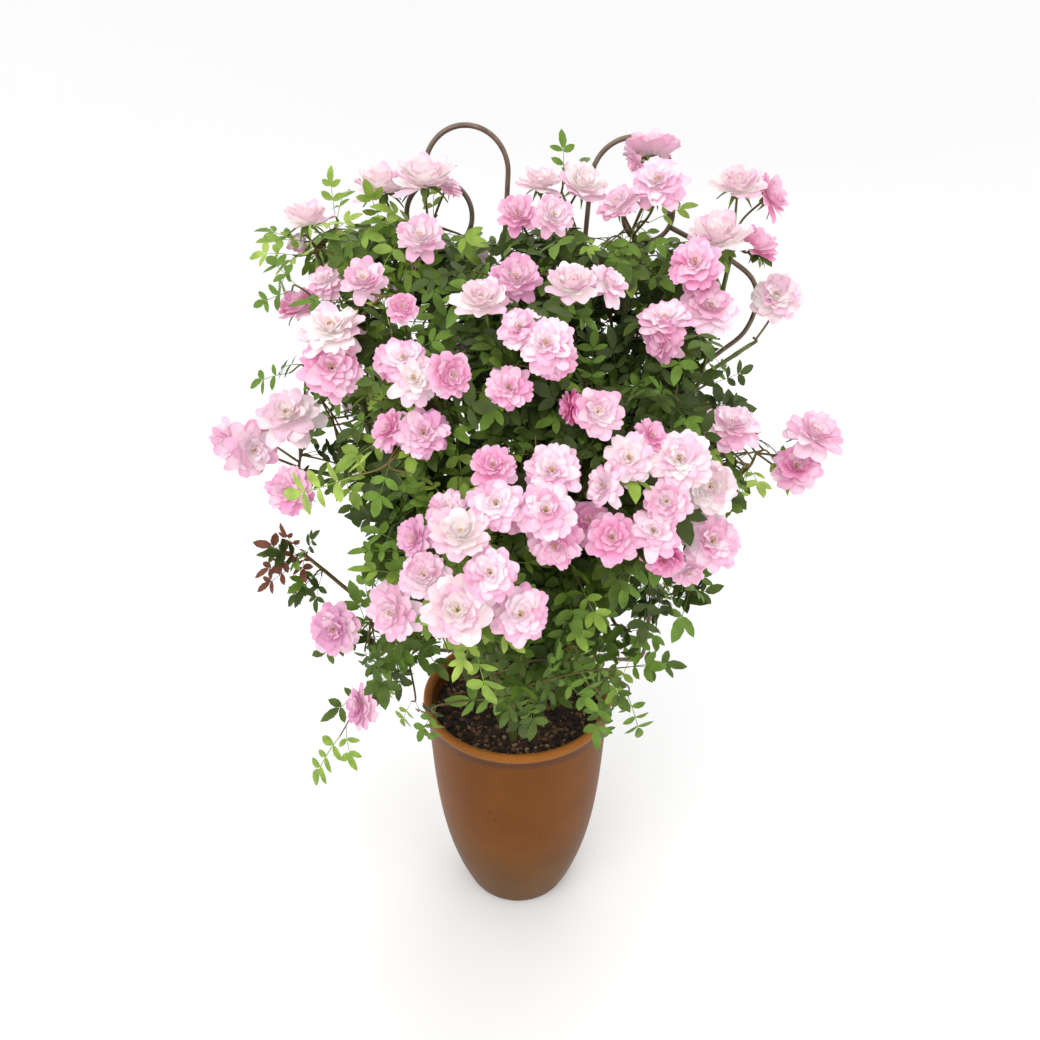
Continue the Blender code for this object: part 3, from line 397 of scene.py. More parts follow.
def placed(spot, along, upward, size):
    # a place whose X axis runs along and whose Z axis is as near upward as it can be
    along = along.normalized()
    across = upward.cross(along).normalized()
    axes = Matrix((along, across, along.cross(across))).transposed() * size
    return Matrix.Translation(spot) @ axes.to_4x4()


# Pot

pot = {
    "height": 0.315, "rimRadius": 0.120, "lipHeight": 0.013, "wall": 0.008, "floor": 0.012,
    "belly": (0.116, 0.110, 0.114, 0.0705),     # radii that shape the wall, from lip to foot
    "wallSteps": 30, "wallCrowding": 1.2,       # over 1, the steps are closer together at the foot
    "footRound": 0.004, "footEdge": (0.35, 0.0009),
    "lipRound": 0.0045, "lipEase": 0.0002, "lipAngles": (-80, -50, -20, 0, 20, 50, 75, 90),
    "lipInside": ((0.002, 0.0004), (-0.001, 0.003)),
    "underLip": 0.004, "segments": 128, "sharpAngle": 50,
    # the lip's light colour is a painted highlight, and the dark band just under the lip is painted shade
    "glaze": (111, 64, 18), "paintedLipHighlight": (146, 90, 34), "paintedUnderLipShade": (88, 52, 28),
    "footGlaze": (98, 65, 28), "speckle": (60, 33, 15),
    "bands": (                  # share of the height, and the glaze there, with painted shade under the lip and a painted highlight on its top
        (0.00, "footGlaze"), (0.22, "footGlaze"), (0.55, "glaze"), (0.93, "glaze"),
        (0.952, "paintedUnderLipShade"), (0.972, "paintedUnderLipShade"), (0.985, "paintedLipHighlight"), (1.0, "paintedLipHighlight")),
    "bandSway": 0.010, "swayScale": 9.0, "drift": 0.13, "driftScale": 14.0,
    "speckleScale": 420.0, "speckleSpan": {"From Min": 0.63, "From Max": 0.72, "To Max": 0.75},
    "roughness": 0.42, "shine": 0.10, "relief": 0.0005, "reliefScale": 170, "reliefStretch": 2.5,
}


def wallRadius(height):
    depth = 1 - height / (pot["height"] - pot["lipHeight"])
    lip, upper, lower, foot = pot["belly"]
    rest = 1 - depth
    return (lip * rest ** 3 + 3 * upper * rest ** 2 * depth + 3 * lower * rest * depth ** 2
            + foot * depth ** 3)


def potGlaze():
    made = surface("potGlaze", pot["glaze"], pot["roughness"], uneven=pot["drift"],
                   unevenScale=pot["driftScale"], relief=pot["relief"], reliefScale=pot["reliefScale"],
                   stretch=pot["reliefStretch"], **{"Specular IOR Level": pot["shine"]})
    nodes, links = made.node_tree.nodes, made.node_tree.links
    tint = next(node for node in nodes if node.type == "GROUP" and node.node_tree == unevenColour)
    # bands of glaze whose edges wander a little up and down; the dark band just under the lip is painted
    # shade, and the light colour on the lip's top is a painted highlight
    place = addNode(nodes, "TexCoord")
    apart = addNode(nodes, "SeparateXYZ")
    wander = addNode(nodes, "TexNoise", {"Scale": pot["swayScale"]})
    sway = addNode(nodes, "Math", {1: pot["bandSway"]}, operation="MULTIPLY_ADD")
    links.new(place.outputs["Object"], apart.inputs[0])
    links.new(place.outputs["Object"], wander.inputs["Vector"])
    links.new(wander.outputs["Fac"], sway.inputs[0])
    links.new(apart.outputs["Z"], sway.inputs[2])
    height = addNode(nodes, "MapRange", {"From Max": pot["height"]})
    links.new(sway.outputs[0], height.inputs["Value"])
    bands = addNode(nodes, "ValToRGB")
    for at, _ in pot["bands"][1:-1]:
        bands.color_ramp.elements.new(at)
    for element, (at, glaze) in zip(bands.color_ramp.elements, pot["bands"]):
        element.position = at
        element.color = srgb(pot[glaze])
    links.new(height.outputs["Result"], bands.inputs["Fac"])
    # fine dark specks
    spots = addNode(nodes, "TexNoise", {"Scale": pot["speckleScale"], "Detail": 2.0})
    dots = addNode(nodes, "MapRange", pot["speckleSpan"])
    links.new(place.outputs["Object"], spots.inputs["Vector"])
    links.new(spots.outputs["Fac"], dots.inputs["Value"])
    mixed = mixColours(nodes, links, dots.outputs["Result"], bands.outputs["Color"], srgb(pot["speckle"]))
    links.new(mixed, tint.inputs["Colour"])
    return made


def makePot():
    top, lip, rim, wall = pot["height"], pot["lipHeight"], pot["rimRadius"], pot["wall"]
    under, steps, foot = top - lip, pot["wallSteps"], pot["belly"][3]
    footRound, curve = pot["footRound"], pot["lipRound"]
    heights = [footRound + (under - footRound) * (i / steps) ** pot["wallCrowding"]
               for i in range(steps + 1)]
    inward, rise = pot["footEdge"]
    profile = [(0.0, 0.0), (foot - footRound, 0.0), (foot - footRound * inward, rise)]
    profile += [(wallRadius(z), z) for z in heights]
    # the lip: a soft roll that stands proud of the wall
    for angle in pot["lipAngles"]:
        a = math.radians(angle)
        profile.append((rim - curve + curve * math.cos(a),
                        under + lip / 2 + (lip / 2 - pot["lipEase"]) * math.sin(a)))
    profile += [(rim - wall + across, top - down) for across, down in pot["lipInside"]]
    profile += [(wallRadius(z) - wall, z) for z in reversed(heights)
                if pot["floor"] < z < under - pot["underLip"]]
    profile += [(wallRadius(pot["floor"]) - wall, pot["floor"]), (0.0, pot["floor"])]
    newPiece("pot_glazed", meshFrom("pot_glazed", turned(profile, pot["segments"])), [potGlaze()],
             ["pot"], smoothAngle=pot["sharpAngle"])


makePot()
print("pot made")


# Soil

soil = {
    "level": 0.290, "settled": 0.0025, "rings": 26, "steps": 72,
    "lumps": (45, 0.3), "grit": (120, 2.0), "gritShare": 0.6,     # how fine, and where in the noise
    "bumps": 0.0024, "crust": 0.001,
    "bedFloor": 0.0125, "bedFoot": 0.016, "bedHeights": (0.02, 0.05, 0.1, 0.16, 0.22, 0.27, 0.284),
    "edgeGap": 0.0005, "wallGap": 0.0006, "footGap": 0.001,
    "crumbs": 1500, "crumbSize": (0.0012, 0.0038), "crumbReach": 0.985, "crumbKnobs": (0.35, 2.3),
    "crumbLength": (0.8, 1.6), "crumbHeight": (0.4, 0.8), "crumbTilt": 0.4, "crumbLift": 0.2,
    "crumbShares": (0.62, 0.28, 0.10), "pearlSize": 0.7, "seed": 4,
    "colour": (60, 42, 28), "dark": (38, 27, 18), "tan": (112, 80, 50), "pearl": (150, 128, 100),
    "bedFinish": {"roughness": 0.95, "uneven": 0.45, "unevenScale": 160, "relief": 0.003, "reliefScale": 420},
    "crumbFinish": {"dark": (0.95, 0.4), "tan": (0.9, 0.4), "pearl": (0.85, 0.1)},
    "crumbMottle": 300,
}


def soilHeight(x, y):
    lumps, grit = (noise.noise(Vector((x * fine, y * fine, layer)))
                   for fine, layer in (soil["lumps"], soil["grit"]))
    return soil["level"] - soil["settled"] + soil["bumps"] * (lumps + soil["gritShare"] * grit)


def makeBed(edge):
    foot = wallRadius(soil["bedFoot"]) - pot["wall"] - soil["footGap"]
    profile = [(0.0, soil["bedFloor"]), (foot, soil["bedFloor"])]
    profile += [(wallRadius(z) - pot["wall"] - soil["wallGap"], z) for z in soil["bedHeights"]]
    profile += [(edge * (1 - ring / soil["rings"]), soil["level"]) for ring in range(soil["rings"] + 1)]
    bm = turned(profile, soil["steps"])
    for corner in bm.verts:
        if corner.co.z > soil["level"] - soil["crust"]:
            corner.co.z = soilHeight(corner.co.x, corner.co.y)
    earth = surface("soilEarth", soil["colour"], **soil["bedFinish"])
    newPiece("soil_bed", meshFrom("soil_bed", bm), [earth], ["soil"])


def crumbTemplate():
    bm = bmesh.new()
    bmesh.ops.create_icosphere(bm, subdivisions=1, radius=1.0)
    size, scale = soil["crumbKnobs"]
    for corner in bm.verts:
        corner.co *= 1 + size * noise.noise(corner.co * scale)
    return readTemplate(bm)


def makeCrumbs(edge):
    # crumbs of bark, peat and perlite
    chance = random.Random(soil["seed"])
    crumb = crumbTemplate()
    places, kinds = [], []
    for _ in range(soil["crumbs"]):
        out = edge * math.sqrt(chance.random()) * soil["crumbReach"]
        turn = chance.uniform(0, math.tau)
        x, y = out * math.cos(turn), out * math.sin(turn)
        kind = chance.choices((0, 1, 2), soil["crumbShares"])[0]
        size = chance.uniform(*soil["crumbSize"]) * (soil["pearlSize"] if kind == 2 else 1.0)
        stretch = Matrix.Diagonal((size * chance.uniform(*soil["crumbLength"]), size,
                                   size * chance.uniform(*soil["crumbHeight"]), 1))
        spin = Matrix.Rotation(chance.uniform(0, math.tau), 4, "Z")
        spin = spin @ Matrix.Rotation(chance.gauss(0, soil["crumbTilt"]), 4, "X")
        lifted = soilHeight(x, y) + size * soil["crumbLift"]
        places.append(Matrix.Translation((x, y, lifted)) @ spin @ stretch)
        kinds.append(kind)
    mesh = repeatedMesh("soil_crumbs", [(crumb, places, kinds)])
    skins = [surface("crumb" + kind.capitalize(), soil[kind], roughness, uneven=uneven,
                     unevenScale=soil["crumbMottle"])
             for kind, (roughness, uneven) in soil["crumbFinish"].items()]
    newPiece("soil_crumbs", mesh, skins, [])


def makeSoil():
    edge = wallRadius(soil["level"]) - pot["wall"] - soil["edgeGap"]
    makeBed(edge)
    makeCrumbs(edge)


makeSoil()
print("soil made")


# Trellis of bent rod, in its own plane: across from its middle line, and up from its lower bar

trellis = {
    "rod": 0.0025, "foot": (-0.004, 0.030, 0.348), "lean": 3.6, "rearPlane": 0.0053,
    "rail": 0.166, "cornerRound": 0.014, "barEnd": 0.140,
    "scroll": ((0.166, 0.360), (0.170, 0.385), (0.192, 0.408), (0.215, 0.432), (0.222, 0.462),
               (0.213, 0.486), (0.188, 0.503), (0.162, 0.514)),
    "leftRing": ((0.105, 0.527), 0.032), "rightRing": ((0.099, 0.540), 0.024),
    "hoopMiddle": (0.080, 0.568), "hoopRadius": 0.040, "hoopEnd": 0.538, "topBar": 0.505,
    "legSink": 0.006,           # how deep a leg stands in the soil
    "cornerSteps": 8, "scrollSteps": 40, "hoopSteps": 32, "ringSteps": 48, "roundness": 4,
    "sharpAngle": 40, "paint": (118, 100, 86),
    "finish": {"roughness": 0.38, "uneven": 0.35, "unevenScale": 90, "relief": 0.0006, "reliefScale": 500,
               "Metallic": 0.55},
}


def arc(middle, radius, start, end, steps):
    angles = [math.radians(start + (end - start) * i / steps) for i in range(steps + 1)]
    return [(middle[0] + radius * math.cos(a), middle[1] + radius * math.sin(a)) for a in angles]


def trellisPoint(across, high, back=0.0):
    lean = math.radians(trellis["lean"])
    return Vector(trellis["foot"]) + Vector((across * math.cos(lean) + high * math.sin(lean), back,
                                             high * math.cos(lean) - across * math.sin(lean)))


def sideRod(hand, ring):
    bend = trellis["cornerRound"]
    corner = arc((trellis["rail"] - bend, bend), bend, -90, 0, trellis["cornerSteps"])
    scroll = [Vector((across, 0.0, high)) for across, high in trellis["scroll"]]
    scroll = [(point.x, point.z) for point in curveThrough(scroll, trellis["scrollSteps"])]
    middle = Vector(ring[0])
    last = (Vector(trellis["scroll"][-1]) - middle).normalized()
    end = tuple(middle + last * (ring[1] + trellis["rod"]))
    flat = [(trellis["barEnd"], 0.0)] + corner + scroll + [end]
    return [trellisPoint(hand * across, high) for across, high in flat]


def hoopRod(hand):
    inner = trellis["hoopMiddle"][0] - trellis["hoopRadius"]
    lean = math.radians(trellis["lean"])
    footHigh = (soil["level"] - trellis["legSink"] - trellis["foot"][2]) / math.cos(lean)
    flat = [(inner, footHigh + hand * inner * math.tan(lean))]
    flat += arc(trellis["hoopMiddle"], trellis["hoopRadius"], 180, 0, trellis["hoopSteps"])
    flat.append((trellis["hoopMiddle"][0] + trellis["hoopRadius"], trellis["hoopEnd"]))
    return [trellisPoint(hand * across, high, trellis["rearPlane"]) for across, high in flat]


def makeTrellis():
    leg = trellis["hoopMiddle"][0] - trellis["hoopRadius"]
    reach = trellis["barEnd"]
    rods = [([trellisPoint(-reach, 0), trellisPoint(reach, 0)], False),
            ([trellisPoint(-leg - trellis["rod"], trellis["topBar"]),
              trellisPoint(leg + trellis["rod"], trellis["topBar"])], False)]
    for hand, place in ((-1, trellis["leftRing"]), (1, trellis["rightRing"])):
        ring = arc(*place, 0, 360, trellis["ringSteps"])[:-1]
        rods += [(sideRod(hand, place), False), (hoopRod(hand), False),
                 ([trellisPoint(hand * across, high) for across, high in ring], True)]
    runs = [(path, [trellis["rod"]] * len(path), closed, 0) for path, closed in rods]
    paint = surface("rodPaint", trellis["paint"], **trellis["finish"])
    nodes = ["trellis_%s_%s" % (part, side) for part in ("side", "hoop", "ring")
             for side in ("left", "right")]
    newPiece("trellis_rods", tubesMesh("trellis_rods", runs, trellis["roundness"]), [paint],
             ["trellis_lower_bar", "trellis_upper_bar"] + nodes, smoothAngle=trellis["sharpAngle"])


makeTrellis()
print("trellis made")


# Canes and boughs: where each stands, passes and ends

plant = {
    "canes": {
        "cane_left": (((-0.045, 0.000, 0.290), (-0.095, -0.005, 0.44), (-0.140, -0.020, 0.60),
                       (-0.165, -0.030, 0.76)), 0.0060, 0.0032),
        "cane_left_inner": (((-0.020, -0.030, 0.290), (-0.040, -0.045, 0.46), (-0.070, -0.035, 0.66),
                             (-0.085, -0.015, 0.845)), 0.0055, 0.0028),
        "cane_middle": (((0.000, -0.005, 0.290), (0.008, -0.035, 0.46), (0.018, -0.040, 0.66),
                         (0.030, -0.020, 0.845)), 0.0060, 0.0028),
        "cane_right_inner": (((0.024, -0.025, 0.290), (0.058, -0.035, 0.46), (0.092, -0.035, 0.66),
                              (0.110, -0.010, 0.855)), 0.0055, 0.0028),
        "cane_right": (((0.048, 0.002, 0.290), (0.105, -0.010, 0.44), (0.155, -0.020, 0.60),
                        (0.180, -0.025, 0.765)), 0.0060, 0.0032),
        "cane_front": (((-0.005, -0.060, 0.290), (-0.010, -0.095, 0.41), (-0.028, -0.150, 0.52),
                        (-0.042, -0.190, 0.580)), 0.0050, 0.0030),
        "cane_back": (((0.000, 0.050, 0.290), (0.004, 0.080, 0.46), (0.000, 0.105, 0.60),
                       (0.000, 0.120, 0.700)), 0.0060, 0.0032),
    },
    "boughs": {
        "bough_far_top_left": ("cane_left", 0.93, (-0.190, -0.005, 0.845)),
        "bough_right_tip": ("cane_right", 0.88, (0.208, 0.000, 0.855)),
        "bough_right_outer": ("cane_right", 0.93, (0.234, -0.012, 0.764)),
        "bough_left_middle": ("cane_left_inner", 0.66, (-0.085, -0.110, 0.715)),
        "bough_right_middle": ("cane_right_inner", 0.66, (0.066, -0.115, 0.715)),
        "bough_far_left": ("cane_left", 0.70, (-0.212, -0.055, 0.645)),
        "bough_far_right": ("cane_right", 0.55, (0.232, -0.050, 0.640)),
        "bough_right_cluster": ("cane_right_inner", 0.42, (0.120, -0.130, 0.600)),
        "bough_middle_cluster": ("cane_middle", 0.48, (0.018, -0.150, 0.645)),
        "bough_back_left": ("cane_back", 0.55, (-0.150, 0.085, 0.640)),
        "bough_back_right": ("cane_back", 0.62, (0.160, 0.085, 0.640)),
    },
    "boughTaper": 0.62, "boughTip": 0.0022, "boughLead": 0.25, "boughLift": 0.15, "steps": 48,
    "caneSink": 0.006, "rootDepth": 0.5, "roundness": 3,
    "knotEvery": 8, "knotWidth": 1.2, "knotSize": 0.20,
    "furrow": 0.00035, "furrowAcross": 420, "furrowAlong": 60, "furrowCross": 300,
    "thornSpacing": 0.020, "thornSize": 0.0050, "thornVaries": (0.6, 1.1), "thornStray": 0.3,
    "thornReach": 0.97, "thornSeat": 0.8, "thornCane": 0.004,
    "thornBase": 0.30, "thornPoint": 0.01, "thornBroad": 1.7, "thornHook": 0.45,
    "barkGreen": (98, 108, 52), "barkBrown": (104, 84, 52), "thorn": (128, 78, 52),
    "greenFinish": {"roughness": 0.55, "uneven": 0.30, "unevenScale": 60, "relief": 0.0008,
                    "reliefScale": 380, "stretch": 0.25},
    "brownFinish": {"roughness": 0.65, "uneven": 0.40, "unevenScale": 45, "relief": 0.0012,
                    "reliefScale": 300, "stretch": 0.2},
    "thornFinish": {"roughness": 0.5, "uneven": 0.2},
}


class Limb:
    def __init__(self, path, first, last):
        self.path = path
        self.radii = tapered(len(path), first, last)

    def at(self, share):
        spot = share * (len(self.path) - 1)
        index = min(int(spot), len(self.path) - 2)
        t = spot - index
        way = (self.path[index + 1] - self.path[index]).normalized()
        radius = self.radii[index] * (1 - t) + self.radii[index + 1] * t
        return self.path[index].lerp(self.path[index + 1], t), way, radius

    def foothold(self, share, target):
        spot, way, radius = self.at(share)
        if share >= 1.0:
            return spot, way
        outward = target - spot
        outward = (outward - outward.project(way)).normalized()
        return spot + outward * radius * plant["rootDepth"], outward


def growLimbs():
    limbs = {}
    for name, (points, first, last) in plant["canes"].items():
        corners = [Vector(point) for point in points]
        corners[0].z -= plant["caneSink"]
        limbs[name] = Limb(curveThrough(corners, plant["steps"]), first, last)
    for name, (carrier, share, end) in plant["boughs"].items():
        target = Vector(end)
        start, way = limbs[carrier].foothold(share, target)
        reach = (target - start).length
        via = start + way * reach * plant["boughLead"] + up * reach * plant["boughLift"]
        first = limbs[carrier].at(share)[2] * plant["boughTaper"]
        path = curveThrough([start, via, target], plant["steps"] // 2)
        limbs[name] = Limb(path, first, plant["boughTip"])
    return limbs


def makeBark(limbs):
    runs, every = [], plant["knotEvery"]
    for name, limb in limbs.items():
        # a ring-shaped swelling where each old leaf stood
        knots = [max(0.0, 1 - abs(i % every - every / 2) / plant["knotWidth"]) * plant["knotSize"]
                 for i in range(len(limb.radii))]
        swollen = [radius * (1 + knot) for radius, knot in zip(limb.radii, knots)]
        runs.append((limb.path, swollen, False, 1 if name.startswith("cane") else 0))
    mesh = tubesMesh("canes_and_boughs", runs, plant["roundness"])
    # furrows along the bark
    across, lengthways = plant["furrowAcross"], plant["furrowAlong"]
    for corner in mesh.vertices:
        spot = corner.co.copy()
        furrow = noise.noise(Vector((spot.x * across, spot.y * across, spot.z * lengthways)))
        cross = noise.noise(spot * plant["furrowCross"])
        corner.co = spot + Vector((furrow, cross, 0)) * plant["furrow"]
    green = surface("barkGreen", plant["barkGreen"], **plant["greenFinish"])
    brown = surface("barkBrown", plant["barkBrown"], **plant["brownFinish"])
    newPiece("canes_and_boughs", mesh, [green, brown], list(limbs))


def thornTemplate():
    # a hooked thorn one unit long, flattened and bent towards its point
    bm = bmesh.new()
    bmesh.ops.create_cone(bm, cap_ends=False, segments=6, radius1=plant["thornBase"],
                          radius2=plant["thornPoint"], depth=1.0)
    flanks = [edge for edge in bm.edges if abs(edge.verts[0].co.z - edge.verts[1].co.z) > 0.5]
    bmesh.ops.subdivide_edges(bm, edges=flanks, cuts=2)
    for corner in bm.verts:
        high = corner.co.z + 0.5
        corner.co.x = corner.co.x * plant["thornBroad"] * (1 - high * 0.5) - plant["thornHook"] * high ** 2
        corner.co.z = high
    return readTemplate(bm)


def makeThorns(limbs):
    chance, stray = random.Random("thorns"), plant["thornStray"]
    places = []
    for limb in limbs.values():
        length = sum((b - a).length for a, b in zip(limb.path, limb.path[1:]))
        count = int(length / plant["thornSpacing"])
        for i in range(2, count):
            spot, way, radius = limb.at((i + chance.uniform(-stray, stray)) / count * plant["thornReach"])
            out = Vector((chance.gauss(0, 1), chance.gauss(0, 1), chance.gauss(0, 1)))
            out = (out - out.project(way)).normalized()
            size = plant["thornSize"] * chance.uniform(*plant["thornVaries"])
            size *= min(1.0, radius / plant["thornCane"])
            axes = Matrix((way, out.cross(way), out)).transposed() * size
            places.append(Matrix.Translation(spot + out * radius * plant["thornSeat"]) @ axes.to_4x4())
    mesh = repeatedMesh("thorns", [(thornTemplate(), places, [0] * len(places))])
    newPiece("thorns", mesh, [surface("thornSkin", plant["thorn"], **plant["thornFinish"])], [])


limbs = growLimbs()
makeBark(limbs)
makeThorns(limbs)
print("canes and boughs made")


# Sprays: root (its limb and the share of the way along it), heart (where its stem ends), space (how far it
# reaches), facing (the way its leaves look), twigs (how many fine ones), tone (which greens its leaves take),
# blooms (place, width, and in front the turn and rise of its look, its tone and its kind) and shoots (tips
# of leafy twigs)

